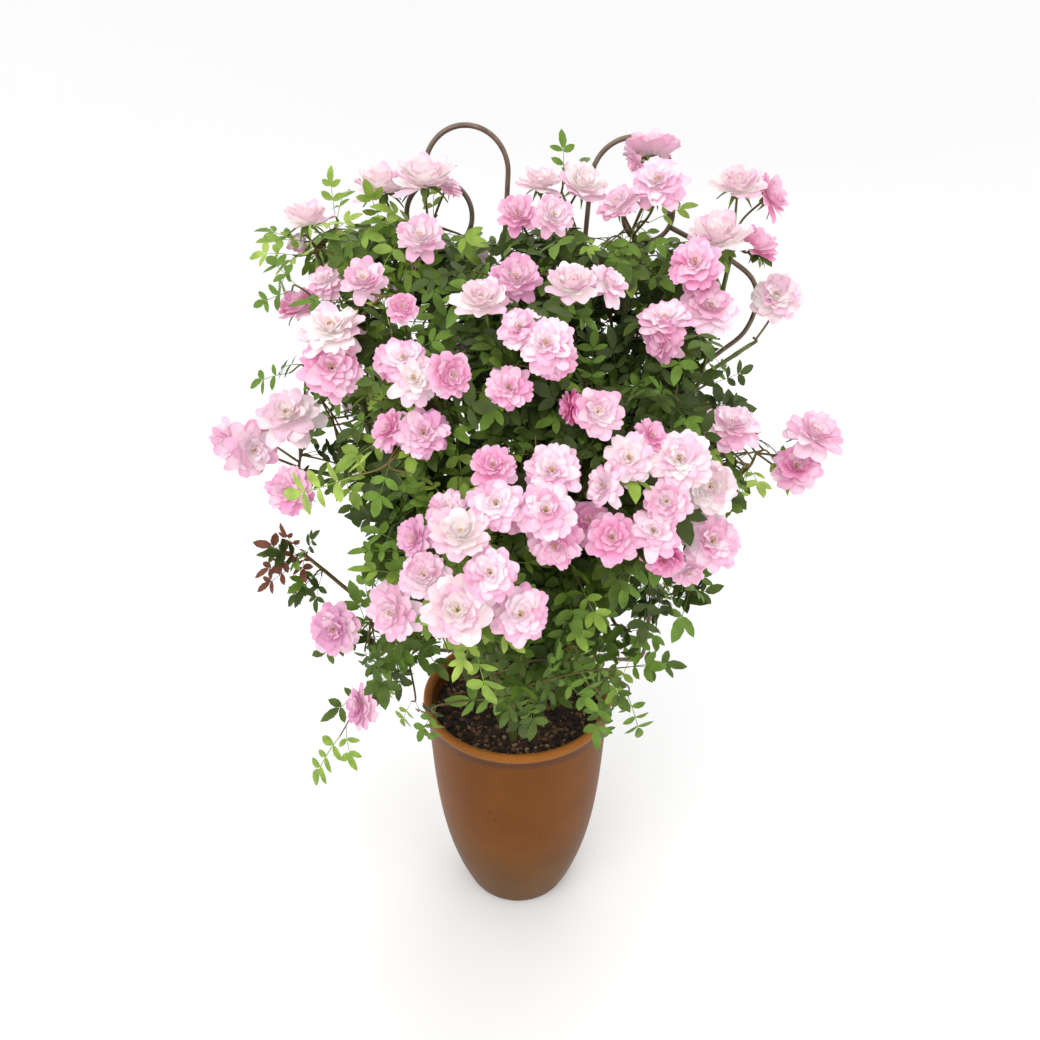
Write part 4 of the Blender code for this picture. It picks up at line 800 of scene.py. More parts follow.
sprays = {
    "spray_top_left": {
        "root": ("cane_left_inner", 1.0), "heart": (-0.085, -0.012, 0.880), "space": 0.050,
        "facing": (-0.15, -0.80, 0.60), "twigs": 8, "tone": "light",
        "blooms": (
            (-0.126, 0.010, 0.913, 0.057, -2, 78, "pale cup"),
            (-0.083, -0.020, 0.922, 0.060, 6, 78, "pale cup"),
            (-0.063, 0.002, 0.913, 0.030, 68, 58, "soft flat"),
            (-0.085, -0.060, 0.876, 0.044, 7, 44, "soft bowl")),
        "shoots": ((-0.056, 0.000, 0.936), (-0.115, -0.010, 0.905, -0.125, -0.010, 0.877, "young"),
                   (-0.100, -0.010, 0.887, "young"), (-0.133, -0.010, 0.890, "young"))},
    "spray_far_top_left": {
        "root": ("bough_far_top_left", 1.0), "heart": (-0.195, 0.000, 0.868), "space": 0.045,
        "facing": (-0.35, -0.75, 0.60), "twigs": 7, "tone": "young",
        "blooms": (
            (-0.196, -0.012, 0.886, 0.052, 21, 82, "pale cup"),
            (-0.209, 0.000, 0.859, 0.021, -33, -63, "pale bud")),
        "shoots": ((-0.249, 0.000, 0.877), (-0.172, 0.000, 0.912, -0.171, 0.000, 0.876),
                   (-0.230, -0.020, 0.854, -0.204, -0.020, 0.851), (-0.153, -0.030, 0.852),
                   (-0.190, -0.030, 0.866), (-0.236, 0.000, 0.897), (-0.148, -0.010, 0.893))},
    "spray_top_middle": {
        "root": ("cane_middle", 1.0), "heart": (0.032, -0.022, 0.880), "space": 0.045,
        "facing": (0.05, -0.75, 0.65), "twigs": 6, "tone": "mid",
        "blooms": (
            (0.001, -0.060, 0.895, 0.037, -8, 41, "rose bowl"),
            (0.033, -0.070, 0.894, 0.037, 15, 32, "soft bowl"),
            (0.022, -0.010, 0.916, 0.041, -2, 76, "pale cup"),
            (0.060, -0.022, 0.916, 0.045, 31, 50, "pale cup")),
        "shoots": ((0.045, 0.000, 0.944, 0.042, 0.000, 0.905),)},
    "spray_top_right": {
        "root": ("cane_right_inner", 1.0), "heart": (0.112, -0.014, 0.890), "space": 0.050,
        "facing": (0.10, -0.55, 0.85), "twigs": 5, "tone": "mid",
        "blooms": (
            (0.121, -0.008, 0.943, 0.050, 178, 64, "soft cup"),
            (0.103, -0.030, 0.930, 0.026, -84, -29, "mauve loose"),
            (0.123, -0.050, 0.920, 0.050, -13, 40, "soft flat"),
            (0.088, -0.050, 0.903, 0.038, -47, 51, "soft round")),
        "shoots": ((0.094, 0.000, 0.946), (0.172, 0.000, 0.898))},
    "spray_right_tip": {
        "root": ("bough_right_tip", 1.0), "heart": (0.212, -0.002, 0.876), "space": 0.050,
        "facing": (0.25, -0.75, 0.60), "twigs": 4, "tone": "mid",
        "blooms": (
            (0.206, 0.000, 0.914, 0.051, -14, 62, "pale cup"),
            (0.244, 0.010, 0.903, 0.046, 60, 35, "rose bowl"),
            (0.183, -0.038, 0.874, 0.060, -20, 66, "pale cup"),
            (0.228, -0.012, 0.863, 0.044, 45, 60, "rose cup")),
        "shoots": ((0.253, 0.020, 0.836),)},
    "spray_right_upper": {
        "root": ("cane_right", 1.0), "heart": (0.158, -0.045, 0.800), "space": 0.058,
        "facing": (0.10, -0.90, 0.45), "twigs": 10, "tone": "dark",
        "blooms": (
            (0.156, -0.080, 0.857, 0.047, -12, 42, "rose flat"),
            (0.164, -0.070, 0.836, 0.032, -25, 55, "rose loose"),
            (0.174, -0.078, 0.818, 0.051, 6, 49, "soft flat"),
            (0.130, -0.098, 0.813, 0.046, -11, 60, "soft flat"),
            (0.126, -0.105, 0.793, 0.042, -52, -3, "rose loose")),
        "shoots": ()},
    "spray_right_outer": {
        "root": ("bough_right_outer", 1.0), "heart": (0.248, -0.016, 0.776), "space": 0.052,
        "facing": (0.35, -0.85, 0.40), "twigs": 4, "tone": "mid",
        "blooms": (
            (0.255, -0.005, 0.812, 0.049, -22, 44, "pale flat"),),
        "shoots": ()},
    "spray_left_upper": {
        "root": ("cane_left", 1.0), "heart": (-0.165, -0.058, 0.798), "space": 0.060,
        "facing": (-0.20, -0.90, 0.40), "twigs": 11, "tone": "mid",
        "blooms": (
            (-0.133, -0.090, 0.845, 0.043, 1, 50, "soft bowl"),
            (-0.176, -0.052, 0.836, 0.038, -28, 43, "soft loose"),
            (-0.207, -0.042, 0.811, 0.045, -41, 66, "rose cup"),
            (-0.161, -0.108, 0.808, 0.062, 5, 70, "pale flat"),
            (-0.160, -0.128, 0.777, 0.055, 8, 34, "rose flat")),
        "shoots": ((-0.229, -0.060, 0.819, -0.197, -0.060, 0.830),
                   (-0.087, -0.120, 0.834, -0.115, -0.115, 0.832),
                   (-0.205, -0.060, 0.842), (-0.135, -0.125, 0.818))},
    "spray_middle_upper": {
        "root": ("cane_middle", 0.86), "heart": (0.016, -0.100, 0.828), "space": 0.052,
        "facing": (0.05, -0.90, 0.40), "twigs": 10, "tone": "dark",
        "blooms": (
            (-0.028, -0.138, 0.838, 0.048, 2, 58, "pale cup"),
            (0.000, -0.120, 0.852, 0.043, 0, 41, "mauve bowl"),
            (0.046, -0.130, 0.849, 0.047, -4, 64, "pale cup"),
            (0.080, -0.110, 0.845, 0.039, 47, 48, "soft loose")),
        "shoots": ()},
    "spray_centre": {
        "root": ("cane_middle", 0.74), "heart": (0.014, -0.120, 0.775), "space": 0.048,
        "facing": (0.05, -0.95, 0.30), "twigs": 10, "tone": "dark",
        "blooms": (
            (0.003, -0.170, 0.822, 0.037, -15, 44, "soft flat"),
            (0.024, -0.180, 0.812, 0.045, -2, 31, "soft flat"),
            (0.031, -0.178, 0.796, 0.037, -3, -13, "rose flat"),
            (-0.006, -0.180, 0.776, 0.038, 1, 33, "rose flat")),
        "shoots": ()},
    "spray_left_middle": {
        "root": ("bough_left_middle", 1.0), "heart": (-0.085, -0.130, 0.748), "space": 0.060,
        "facing": (-0.10, -0.95, 0.30), "twigs": 11, "tone": "mid",
        "blooms": (
            (-0.083, -0.170, 0.780, 0.044, 13, 42, "pale loose"),
            (-0.051, -0.178, 0.785, 0.038, 26, 16, "rose round"),
            (-0.111, -0.142, 0.787, 0.035, -43, 26, "rose loose"),
            (-0.095, -0.130, 0.829, 0.027, 8, 35, "rose round"),
            (-0.077, -0.180, 0.737, 0.045, 7, 41, "mauve flat"),
            (-0.110, -0.162, 0.733, 0.039, -45, 36, "rose loose"),
            (-0.093, -0.155, 0.793, 0.040, -7, 46, "soft flat")),
        "shoots": ((-0.210, -0.170, 0.665, -0.106, -0.190, 0.713, "young"),
                   (-0.025, -0.235, 0.694, -0.106, -0.190, 0.713, "young"),
                   (-0.090, -0.200, 0.716, "young"), (-0.022, -0.200, 0.771, "young"),
                   (-0.140, -0.170, 0.722, "young"))},
    "spray_right_middle": {
        "root": ("bough_right_middle", 1.0), "heart": (0.064, -0.132, 0.742), "space": 0.046,
        "facing": (0.10, -0.95, 0.30), "twigs": 11, "tone": "dark",
        "blooms": (
            (0.068, -0.178, 0.755, 0.043, 8, 38, "soft round"),
            (0.042, -0.168, 0.754, 0.030, -75, 7, "deep loose")),
        "shoots": ()},
    "spray_far_left": {
        "root": ("bough_far_left", 1.0), "heart": (-0.232, -0.065, 0.665), "space": 0.062,
        "facing": (-0.45, -0.80, 0.35), "twigs": 8, "tone": "mid",
        "blooms": (
            (-0.216, -0.090, 0.721, 0.062, -5, 60, "pale loose"),
            (-0.285, -0.070, 0.680, 0.046, -20, 2, "soft loose"),
            (-0.248, -0.102, 0.688, 0.055, 41, 8, "soft loose"),
            (-0.216, -0.120, 0.654, 0.047, -9, 22, "rose flat")),
        "shoots": ((-0.268, -0.045, 0.738, -0.205, -0.050, 0.749),
                   (-0.195, -0.050, 0.694, "dark"), (-0.178, -0.050, 0.664, "dark"),
                   (-0.221, -0.050, 0.609, "dark"), (-0.192, -0.050, 0.616, "dark"))},
    "spray_far_right": {
        "root": ("bough_far_right", 1.0), "heart": (0.258, -0.055, 0.665), "space": 0.062,
        "facing": (0.45, -0.80, 0.35), "twigs": 5, "tone": "mid",
        "blooms": (
            (0.304, -0.042, 0.684, 0.062, 18, 66, "soft loose"),
            (0.286, -0.052, 0.650, 0.050, -18, 50, "rose flat"),
            (0.203, -0.098, 0.714, 0.055, 4, 68, "soft flat")),
        "shoots": ((0.232, -0.060, 0.640), (0.326, -0.010, 0.630), (0.208, -0.080, 0.648))},
    "spray_right_cluster": {
        "root": ("bough_right_cluster", 1.0), "heart": (0.128, -0.158, 0.650), "space": 0.078,
        "facing": (0.20, -0.90, 0.40), "twigs": 12, "tone": "dark",
        "blooms": (
            (0.094, -0.190, 0.718, 0.044, -9, 35, "pale loose"),
            (0.115, -0.172, 0.731, 0.032, 29, 45, "rose loose"),
            (0.136, -0.190, 0.717, 0.053, -13, 45, "pale flat"),
            (0.170, -0.170, 0.683, 0.048, -5, 38, "pale round"),
            (0.124, -0.212, 0.689, 0.040, -12, 38, "soft round"),
            (0.114, -0.220, 0.666, 0.047, -11, 48, "soft loose"),
            (0.176, -0.178, 0.633, 0.051, 0, 46, "soft flat"),
            (0.129, -0.200, 0.625, 0.038, -12, 0, "deep flat"),
            (0.160, -0.170, 0.593, 0.033, 5, -7, "soft loose"),
            (0.080, -0.218, 0.658, 0.044, -8, 41, "rose loose")),
        "shoots": ()},
    "spray_middle_cluster": {
        "root": ("bough_middle_cluster", 1.0), "heart": (0.020, -0.172, 0.680), "space": 0.062,
        "facing": (0.05, -0.90, 0.40), "twigs": 9, "tone": "dark",
        "blooms": (
            (0.030, -0.200, 0.712, 0.049, -3, 42, "soft flat"),
            (-0.019, -0.200, 0.716, 0.039, 2, 52, "rose loose"),
            (-0.016, -0.230, 0.696, 0.044, 2, 39, "soft flat"),
            (0.024, -0.230, 0.690, 0.047, -2, 39, "soft flat"),
            (0.070, -0.205, 0.700, 0.038, -57, 24, "soft loose"),
            (0.032, -0.220, 0.651, 0.046, -8, 4, "rose flat"),
            (0.063, -0.190, 0.659, 0.044, -6, 58, "rose flat"),
            (-0.003, -0.205, 0.662, 0.030, 0, -32, "rose loose")),
        "shoots": ()},
    "spray_front_cluster": {
        "root": ("cane_front", 1.0), "heart": (-0.045, -0.212, 0.625), "space": 0.072,
        "facing": (-0.10, -0.88, 0.45), "twigs": 9, "tone": "mid",
        "blooms": (
            (-0.044, -0.250, 0.681, 0.049, 5, 62, "pale cup"),
            (-0.075, -0.250, 0.642, 0.041, -4, 52, "soft round"),
            (-0.020, -0.268, 0.655, 0.044, 6, 47, "soft flat"),
            (-0.046, -0.280, 0.628, 0.056, 3, 44, "pale round"),
            (0.004, -0.260, 0.610, 0.049, 10, 46, "soft flat"),
            (-0.108, -0.230, 0.590, 0.052, -23, 18, "soft loose"),
            (-0.086, -0.220, 0.658, 0.037, -35, 22, "mauve loose"),
            (-0.057, -0.212, 0.683, 0.036, 5, 57, "soft flat")),
        "shoots": ()},
    "spray_left_low": {
        "root": ("cane_left", 0.32), "heart": (-0.165, -0.095, 0.475), "space": 0.080,
        "facing": (-0.45, -0.85, 0.20), "twigs": 4, "tone": "mid",
        "blooms": (
            (-0.183, -0.150, 0.515, 0.050, -7, 25, "mauve flat"),
            (-0.173, -0.130, 0.399, 0.047, -54, 23, "mauve flat")),
        "shoots": ((-0.256, -0.100, 0.252), (-0.155, -0.110, 0.386, -0.138, -0.100, 0.425),
                   (-0.229, -0.090, 0.430), (-0.130, -0.120, 0.370, -0.111, -0.120, 0.407, "dark"),
                   (-0.128, -0.120, 0.400, "dark"), (-0.125, -0.110, 0.440, "dark"),
                   (-0.172, -0.120, 0.430, -0.160, -0.110, 0.470, "bronze"))},
    "spray_left_shoot": {
        "root": ("cane_left", 0.38), "heart": (-0.243, -0.045, 0.533), "space": 0.055,
        "facing": (-0.25, -0.90, 0.30), "twigs": 0, "tone": "bronze",
        "blooms": (),
        "shoots": ((-0.291, -0.050, 0.523), (-0.255, -0.045, 0.571),
                   (-0.277, -0.050, 0.546), (-0.292, -0.050, 0.492),
                   (-0.224, -0.040, 0.556), (-0.263, -0.050, 0.481, "dark"),
                   (-0.225, -0.050, 0.489, "dark"))},
    "spray_over_pot": {
        "root": ("cane_front", 0.3), "heart": (0.040, -0.135, 0.460), "space": 0.075,
        "facing": (0.10, -0.90, 0.30), "twigs": 3, "tone": "low",
        "blooms": (),
        "shoots": ((0.010, -0.190, 0.401, -0.019, -0.170, 0.478), (0.071, -0.160, 0.520),
                   (0.143, -0.130, 0.349, 0.112, -0.130, 0.433),
                   (0.098, -0.140, 0.352, 0.084, -0.140, 0.431),
                   (0.082, -0.160, 0.432, 0.055, -0.160, 0.504, "light"),
                   (0.044, -0.150, 0.452, 0.008, -0.150, 0.484),
                   (-0.097, -0.150, 0.362, -0.081, -0.150, 0.419, "dark"), (-0.070, -0.150, 0.422),
                   (0.120, -0.130, 0.430))},
    "spray_right_low": {
        "root": ("cane_right", 0.34), "heart": (0.165, -0.075, 0.490), "space": 0.075,
        "facing": (0.50, -0.80, 0.20), "twigs": 4, "tone": "dark",
        "blooms": (),
        "shoots": ((0.218, -0.085, 0.520), (0.206, -0.100, 0.536))},
    "spray_inner_left": {
        "root": ("cane_left_inner", 0.44), "heart": (-0.085, -0.075, 0.600), "space": 0.075,
        "facing": (-0.30, -0.90, 0.20), "twigs": 22, "tone": "dark",
        "blooms": (),
        "shoots": ()},
    "spray_inner_middle": {
        "root": ("cane_middle", 0.34), "heart": (0.022, -0.088, 0.550), "space": 0.085,
        "facing": (0.00, -0.90, 0.20), "twigs": 22, "tone": "dark",
        "blooms": (),
        "shoots": ()},
    "spray_inner_right": {
        "root": ("cane_right_inner", 0.6), "heart": (0.120, -0.070, 0.690), "space": 0.070,
        "facing": (0.30, -0.90, 0.20), "twigs": 22, "tone": "dark",
        "blooms": (),
        "shoots": ((0.221, -0.040, 0.742, 0.186, -0.040, 0.731),
                   (0.213, -0.060, 0.716, 0.179, -0.060, 0.718),
                   (0.247, -0.050, 0.694), (0.238, -0.050, 0.718), (0.226, -0.050, 0.728))},
    "spray_inner_back": {
        "root": ("cane_middle", 0.6), "heart": (0.008, 0.062, 0.720), "space": 0.085,
        "facing": (0.00, 0.60, 0.60), "twigs": 22, "tone": "dark",
        "blooms": (),
        "shoots": ()},
    "spray_back_top_left": {
        "root": ("cane_left_inner", 0.84), "heart": (-0.075, 0.085, 0.835), "space": 0.070,
        "facing": (-0.30, 0.70, 0.65), "twigs": 9, "tone": "mid",
        "blooms": ((-0.105, 0.110, 0.825, 0.048), (-0.050, 0.110, 0.832, 0.045),
                   (-0.130, 0.085, 0.800, 0.044), (-0.080, 0.145, 0.795, 0.050)),
        "shoots": ((-0.180, 0.090, 0.860),)},
    "spray_back_top_right": {
        "root": ("cane_right_inner", 0.84), "heart": (0.105, 0.090, 0.825), "space": 0.070,
        "facing": (0.30, 0.70, 0.65), "twigs": 9, "tone": "mid",
        "blooms": ((0.070, 0.110, 0.827, 0.046), (0.125, 0.105, 0.824, 0.050),
                   (0.160, 0.085, 0.800, 0.044), (0.110, 0.145, 0.790, 0.050)),
        "shoots": ((0.215, 0.090, 0.850), (0.075, 0.030, 0.775, "dark"), (0.060, 0.080, 0.770, "dark"),
                   (0.090, 0.050, 0.792, "dark"), (0.062, 0.030, 0.795, "dark"))},
    "spray_back_left": {
        "root": ("bough_back_left", 1.0), "heart": (-0.190, 0.080, 0.675), "space": 0.080,
        "facing": (-0.75, 0.50, 0.45), "twigs": 9, "tone": "mid",
        "blooms": ((-0.200, 0.080, 0.745, 0.050), (-0.256, 0.060, 0.666, 0.052),
                   (-0.230, 0.125, 0.700, 0.050), (-0.266, 0.090, 0.640, 0.046),
                   (-0.190, 0.140, 0.660, 0.054)),
        "shoots": ((-0.300, 0.070, 0.620), (-0.180, 0.090, 0.780))},
    "spray_back_right": {
        "root": ("bough_back_right", 1.0), "heart": (0.205, 0.080, 0.675), "space": 0.080,
        "facing": (0.75, 0.50, 0.45), "twigs": 9, "tone": "mid",
        "blooms": ((0.197, 0.075, 0.785, 0.050), (0.238, 0.055, 0.648, 0.052),
                   (0.190, 0.130, 0.700, 0.050), (0.235, 0.095, 0.620, 0.046),
                   (0.200, 0.140, 0.655, 0.054)),
        "shoots": ((0.310, 0.065, 0.620), (0.200, 0.080, 0.780))},
    "spray_back_middle": {
        "root": ("cane_back", 1.0), "heart": (0.000, 0.150, 0.725), "space": 0.075,
        "facing": (0.00, 0.90, 0.45), "twigs": 12, "tone": "mid",
        "blooms": ((-0.045, 0.180, 0.775, 0.050), (0.015, 0.190, 0.785, 0.048),
                   (-0.015, 0.205, 0.735, 0.056), (0.050, 0.190, 0.740, 0.050),
                   (-0.060, 0.190, 0.715, 0.048), (0.020, 0.205, 0.690, 0.046)),
        "shoots": ((0.000, 0.235, 0.640), (0.045, 0.180, 0.650), (-0.050, 0.175, 0.640),
                   (0.015, 0.170, 0.610))},
    "spray_back_low_left": {
        "root": ("cane_back", 0.32), "heart": (-0.110, 0.120, 0.500), "space": 0.080,
        "facing": (-0.50, 0.80, 0.25), "twigs": 12, "tone": "mid",
        "blooms": ((-0.120, 0.175, 0.560, 0.050), (-0.165, 0.155, 0.530, 0.046)),
        "shoots": ((-0.190, 0.120, 0.420), (-0.090, 0.170, 0.390), (-0.040, 0.160, 0.530),
                   (-0.030, 0.165, 0.470), (-0.045, 0.150, 0.425), (-0.010, 0.160, 0.560),
                   (-0.015, 0.150, 0.500))},
    "spray_back_low_right": {
        "root": ("cane_back", 0.4), "heart": (0.115, 0.120, 0.515), "space": 0.080,
        "facing": (0.50, 0.80, 0.25), "twigs": 12, "tone": "mid",
        "blooms": ((0.115, 0.175, 0.580, 0.050), (0.165, 0.155, 0.545, 0.046),
                   (0.080, 0.190, 0.535, 0.044)),
        "shoots": ((0.200, 0.110, 0.430), (0.100, 0.175, 0.410), (0.050, 0.165, 0.500),
                   (0.035, 0.160, 0.450), (0.030, 0.165, 0.540), (0.060, 0.155, 0.425),
                   (0.015, 0.150, 0.480))},
}


# How the sprays fill their own spaces

growth = {
    "crownMiddle": (0.010, -0.015, 0.670), "crownReach": (0.325, 0.275, 0.360),
    # across, and how high leaves reach there; the top is lower towards the back
    "top": ((-0.25, 0.862), (-0.20, 0.872), (-0.14, 0.884), (-0.08, 0.874), (0.00, 0.864), (0.25, 0.864)),
    "topFall": 0.27,
    # height, and how far leaves reach to the left and to the right there
    "outline": ((0.34, -0.105, 0.105), (0.42, -0.125, 0.120), (0.48, -0.160, 0.165), (0.54, -0.168, 0.200),
                (0.60, -0.172, 0.222), (0.66, -0.175, 0.222), (0.72, -0.162, 0.200), (0.78, -0.208, 0.192),
                (0.84, -0.228, 0.200), (0.90, -0.215, 0.200)),
    "leafLow": (-0.325, -0.312, 0.20), "leafHigh": (0.345, 0.262, 0.975),
    "wallMargin": 0.002,
    # the room that stays free in front of a bloom, and in its light
    "bloomAhead": 0.09, "bloomBehind": 0.12, "bloomClear": 0.006, "bloomGap": 0.012, "facePivot": 0.075,
    "lightSide": (0.0, -0.88, 0.47), "lightReach": 0.16, "lightDepth": 0.03, "shadedShare": 0.85,
    # the stem of a spray
    "stemRadius": 0.0026, "stemShare": 0.9, "stemLead": 0.35, "stemSteps": 10, "stemBare": 4,
    "heartBack": 0.022, "bronzeRadius": 0.0034, "bronzeTaper": 0.6,
    # leaves along a twig: a way is outward, onward and forward, and a face up, forward and by chance
    "leafSpacing": 0.0120, "leafSize": (0.043, 0.067), "leafStart": 0.6, "leafStray": 0.2,
    "lastLeaf": 0.999, "leafTurn": 137, "turnStray": 25, "leafMiddle": 0.6,
    "leafWay": (0.9, 0.65, 0.15), "leafDrop": (-0.35, 0.15), "leafFace": (0.75, 0.55, 0.28),
    # shoots
    "shootSpacing": 0.024, "shootLeaf": (0.046, 0.060), "shootFace": (0.30, 1.0, 0.22),
    "shootEnd": 0.078, "shootShare": 0.75, "shootArch": 0.06, "shootTaper": (1.2, 0.7),
    "shootSteps": 12, "shootBare": 4, "shootCarries": 8, "longLeaf": 0.056,
    # the stalks of the blooms
    "stalkRadius": 0.0013, "stalkTaper": 0.85, "stalkSink": 0.24, "stalkBend": 0.40, "stalkRise": 0.7,
    "stalkSteps": 8,
    # fine twigs
    "twigShare": 2.3, "twigReach": (0.30, 1.15), "twigLength": (0.020, 0.14), "twigArch": (0.0, 0.18),
    "twigFacing": 0.2, "twigRadius": 0.0011, "twigTaper": 0.55, "twigSteps": 6, "twigTries": 80,
    "twigRoundness": 1,
    "skins": {"twigBrown": (104, 90, 50), "twigGreen": (92, 106, 50), "stalkGreen": (136, 134, 70),
              "twigRed": (126, 74, 50)},
    "twigFinish": (0.55, 0.3, 60),
    "skinFinish": {"relief": 0.0003, "reliefScale": 240, "detail": 1.0, "Specular IOR Level": 0.2},
}


class Space:
    # the room that one spray has: flat walls between its heart and each other one's
    def __init__(self, name):
        own = sprays[name]
        here = Vector(own["heart"])
        self.walls = []
        for otherName, other in sprays.items():
            if otherName != name:
                there = Vector(other["heart"])
                apart = (there - here).length
                lead = (own["space"] ** 2 - other["space"] ** 2) / (2 * apart)
                way = (there - here) / apart
                self.walls.append((way, way.dot(here) + apart / 2 + lead - growth["wallMargin"]))

    def holds(self, point):
        return all(way.dot(point) <= wall for way, wall in self.walls)

    def crownHolds(self, point):
        return insideCrown(point) and self.holds(point)


def crownDepth(point):
    # 0 in the crown's middle and 1 at its outline
    return math.sqrt(sum(((p - m) / r) ** 2
                         for p, m, r in zip(point, growth["crownMiddle"], growth["crownReach"])))


def insideCrown(point):
    rows = growth["outline"]
    heights = [row[0] for row in rows]
    left, right = (float(np.interp(point.z, heights, [row[side] for row in rows])) for side in (1, 2))
    top = float(np.interp(point.x, [row[0] for row in growth["top"]], [row[1] for row in growth["top"]]))
    return crownDepth(point) < 1 and left < point.x < right and point.z < top - growth["topFall"] * point.y


class Growth:
    # what the sprays grow: runs of twig, and a place for each leaf, bloom and bud
    def __init__(self):
        self.runs = []
        self.leaves = []
        self.blooms = []


def bloomAim(bloom, heart, facing):
    # a bloom looks where its own two angles say, or else away from its spray's heart
    if len(bloom) > 4:
        turn, rise = math.radians(bloom[4]), math.radians(bloom[5])
        return Vector((math.sin(turn) * math.cos(rise), -math.cos(turn) * math.cos(rise), math.sin(rise)))
    return (Vector(bloom[:3]) - heart + facing * growth["facePivot"]).normalized()


def clearOfBlooms(point, blooms, ahead=growth["bloomAhead"]):
    # leaves keep off the faces of the blooms, and mostly out of their light
    light = Vector(growth["lightSide"])
    for spot, look, width, chance in blooms:
        away, half = point - spot, width * 0.5
        over = away.dot(look)
        near = -growth["bloomBehind"] * width < over < ahead
        if near and (away - look * over).length < half + growth["bloomClear"]:
            return False
        if ahead > growth["bloomGap"] and spot.y < growth["lightDepth"] and chance < growth["shadedShare"]:
            over = away.dot(light)
            if 0 < over < growth["lightReach"] and (away - light * over).length < half:
                return False
    return True


def leafFits(spot, tip, blooms, shoot):
    low, high = growth["leafLow"], growth["leafHigh"]
    ahead = growth["bloomGap" if shoot else "bloomAhead"]
    points = (spot.lerp(tip, growth["leafMiddle"]), tip)
    return ((shoot or insideCrown(tip)) and all(a < p < b for a, p, b in zip(low, tip, high))
            and all(clearOfBlooms(point, blooms, ahead) for point in points))


def leafFace(facing, chance, leaning):
    rise, forward, spread = leaning
    stray = Vector([chance.gauss(0, spread) for _ in range(3)])
    return (up * rise + facing * forward + stray).normalized()


def leavesAlong(made, path, facing, tone, chance, blooms, ending=True, goal=None):
    # leaves on alternate sides of a twig, and one that ends it, which reaches a shoot's goal
    length = sum((b - a).length for a, b in zip(path, path[1:]))
    count = max(1, int(length / growth["shootSpacing" if goal else "leafSpacing"]))
    run = Limb(path, 1, 1)
    turn = chance.uniform(0, math.tau)
    stray, turnStray = growth["leafStray"], growth["turnStray"]
    outward, onward, forward = growth["leafWay"]
    found = 0
    for i in range(count + ending):
        last = ending and i == count
        share = growth["lastLeaf"]
        if not last:
            share = min(share, (i + growth["leafStart"] + chance.uniform(-stray, stray)) / (count + stray))
        spot, way, _ = run.at(share)
        turn += math.radians(growth["leafTurn"] + chance.uniform(-turnStray, turnStray))
        out = (Matrix.Rotation(turn, 3, way) @ way.orthogonal().normalized()).normalized()
        along = way if last else (out * outward + way * onward + facing * forward).normalized()
        along = (along + Vector((0, 0, chance.uniform(*growth["leafDrop"])))).normalized()
        face = leafFace(facing, chance, growth["leafFace"])
        size = chance.uniform(*growth["shootLeaf" if goal else "leafSize"])
        pairs = 0               # any number of pairs of leaflets
        if goal:
            face = leafFace(facing, chance, growth["shootFace"])
            if last:
                along, size = (goal - spot).normalized(), max(growth["leafSize"][0], (goal - spot).length)
            pairs = 3 if last and size > growth["longLeaf"] else 2
        if leafFits(spot, spot + along * size, blooms, goal is not None):
            made.leaves.append((spot, along, face, size, tone, pairs))
            found += 1
    return found


def twigSlot(tone):
    # which of the skins a twig with leaves of this tone takes
    skin = {"bronze": "twigRed", "young": "twigRed", "light": "twigGreen", "mid": "twigGreen"}
    return skinSlot(skin.get(tone, "twigBrown"))


def skinSlot(skin):
    return list(growth["skins"]).index(skin)


def nearest(points, spot):
    return min(points, key=lambda point: (point - spot).length)


def growShoots(made, plan, stem, chance, blooms):
    # each shoot goes to its tip, in some by way of a second place, and may have a tone of its own
    facing = Vector(plan["facing"]).normalized()
    carriers = []
    for shoot in plan["shoots"]:
        tone = shoot[-1] if isinstance(shoot[-1], str) else plan["tone"]
        tip, led = Vector(shoot[:3]), len(shoot) > 5
        first = Vector(shoot[3:6]) if led else tip
        root = nearest(stem[growth["stemBare"]:], first)
        last = tip - (first if led else root)
        end = tip - last.normalized() * min(growth["shootEnd"], last.length * growth["shootShare"])
        bend = first if led else (root + end) / 2 + up * last.length * growth["shootArch"]
        path = curveThrough([root, bend, end], growth["shootSteps"])
        leafy = path[growth["shootBare"]:] if led else path
        if leavesAlong(made, leafy, facing, tone, chance, blooms, goal=tip):
            thick, thin = (growth["twigRadius"] * share for share in growth["shootTaper"])
            made.runs.append((path, tapered(len(path), thick, thin), twigSlot(tone)))
            carriers.append(path[1:growth["shootCarries"]])
    return carriers


def growStalks(made, plan, stem, heart, facing):
    thick = growth["stalkRadius"]
    for bloom in plan["blooms"]:
        spot, width = Vector(bloom[:3]), bloom[3]
        look = bloomAim(bloom, heart, facing)
        base = spot - look * width * growth["stalkSink"]
        root = nearest(stem[growth["stemBare"]:], spot)
        bend = base - look * (base - root).length * growth["stalkBend"]
        path = curveThrough([root, root.lerp(bend, growth["stalkRise"]), base], growth["stalkSteps"])
        radii = tapered(len(path), thick, thick * growth["stalkTaper"])
        made.runs.append((path, radii, skinSlot("stalkGreen")))
        made.blooms.append((spot, look, width, bloom[6] if len(bloom) > 6 else ""))


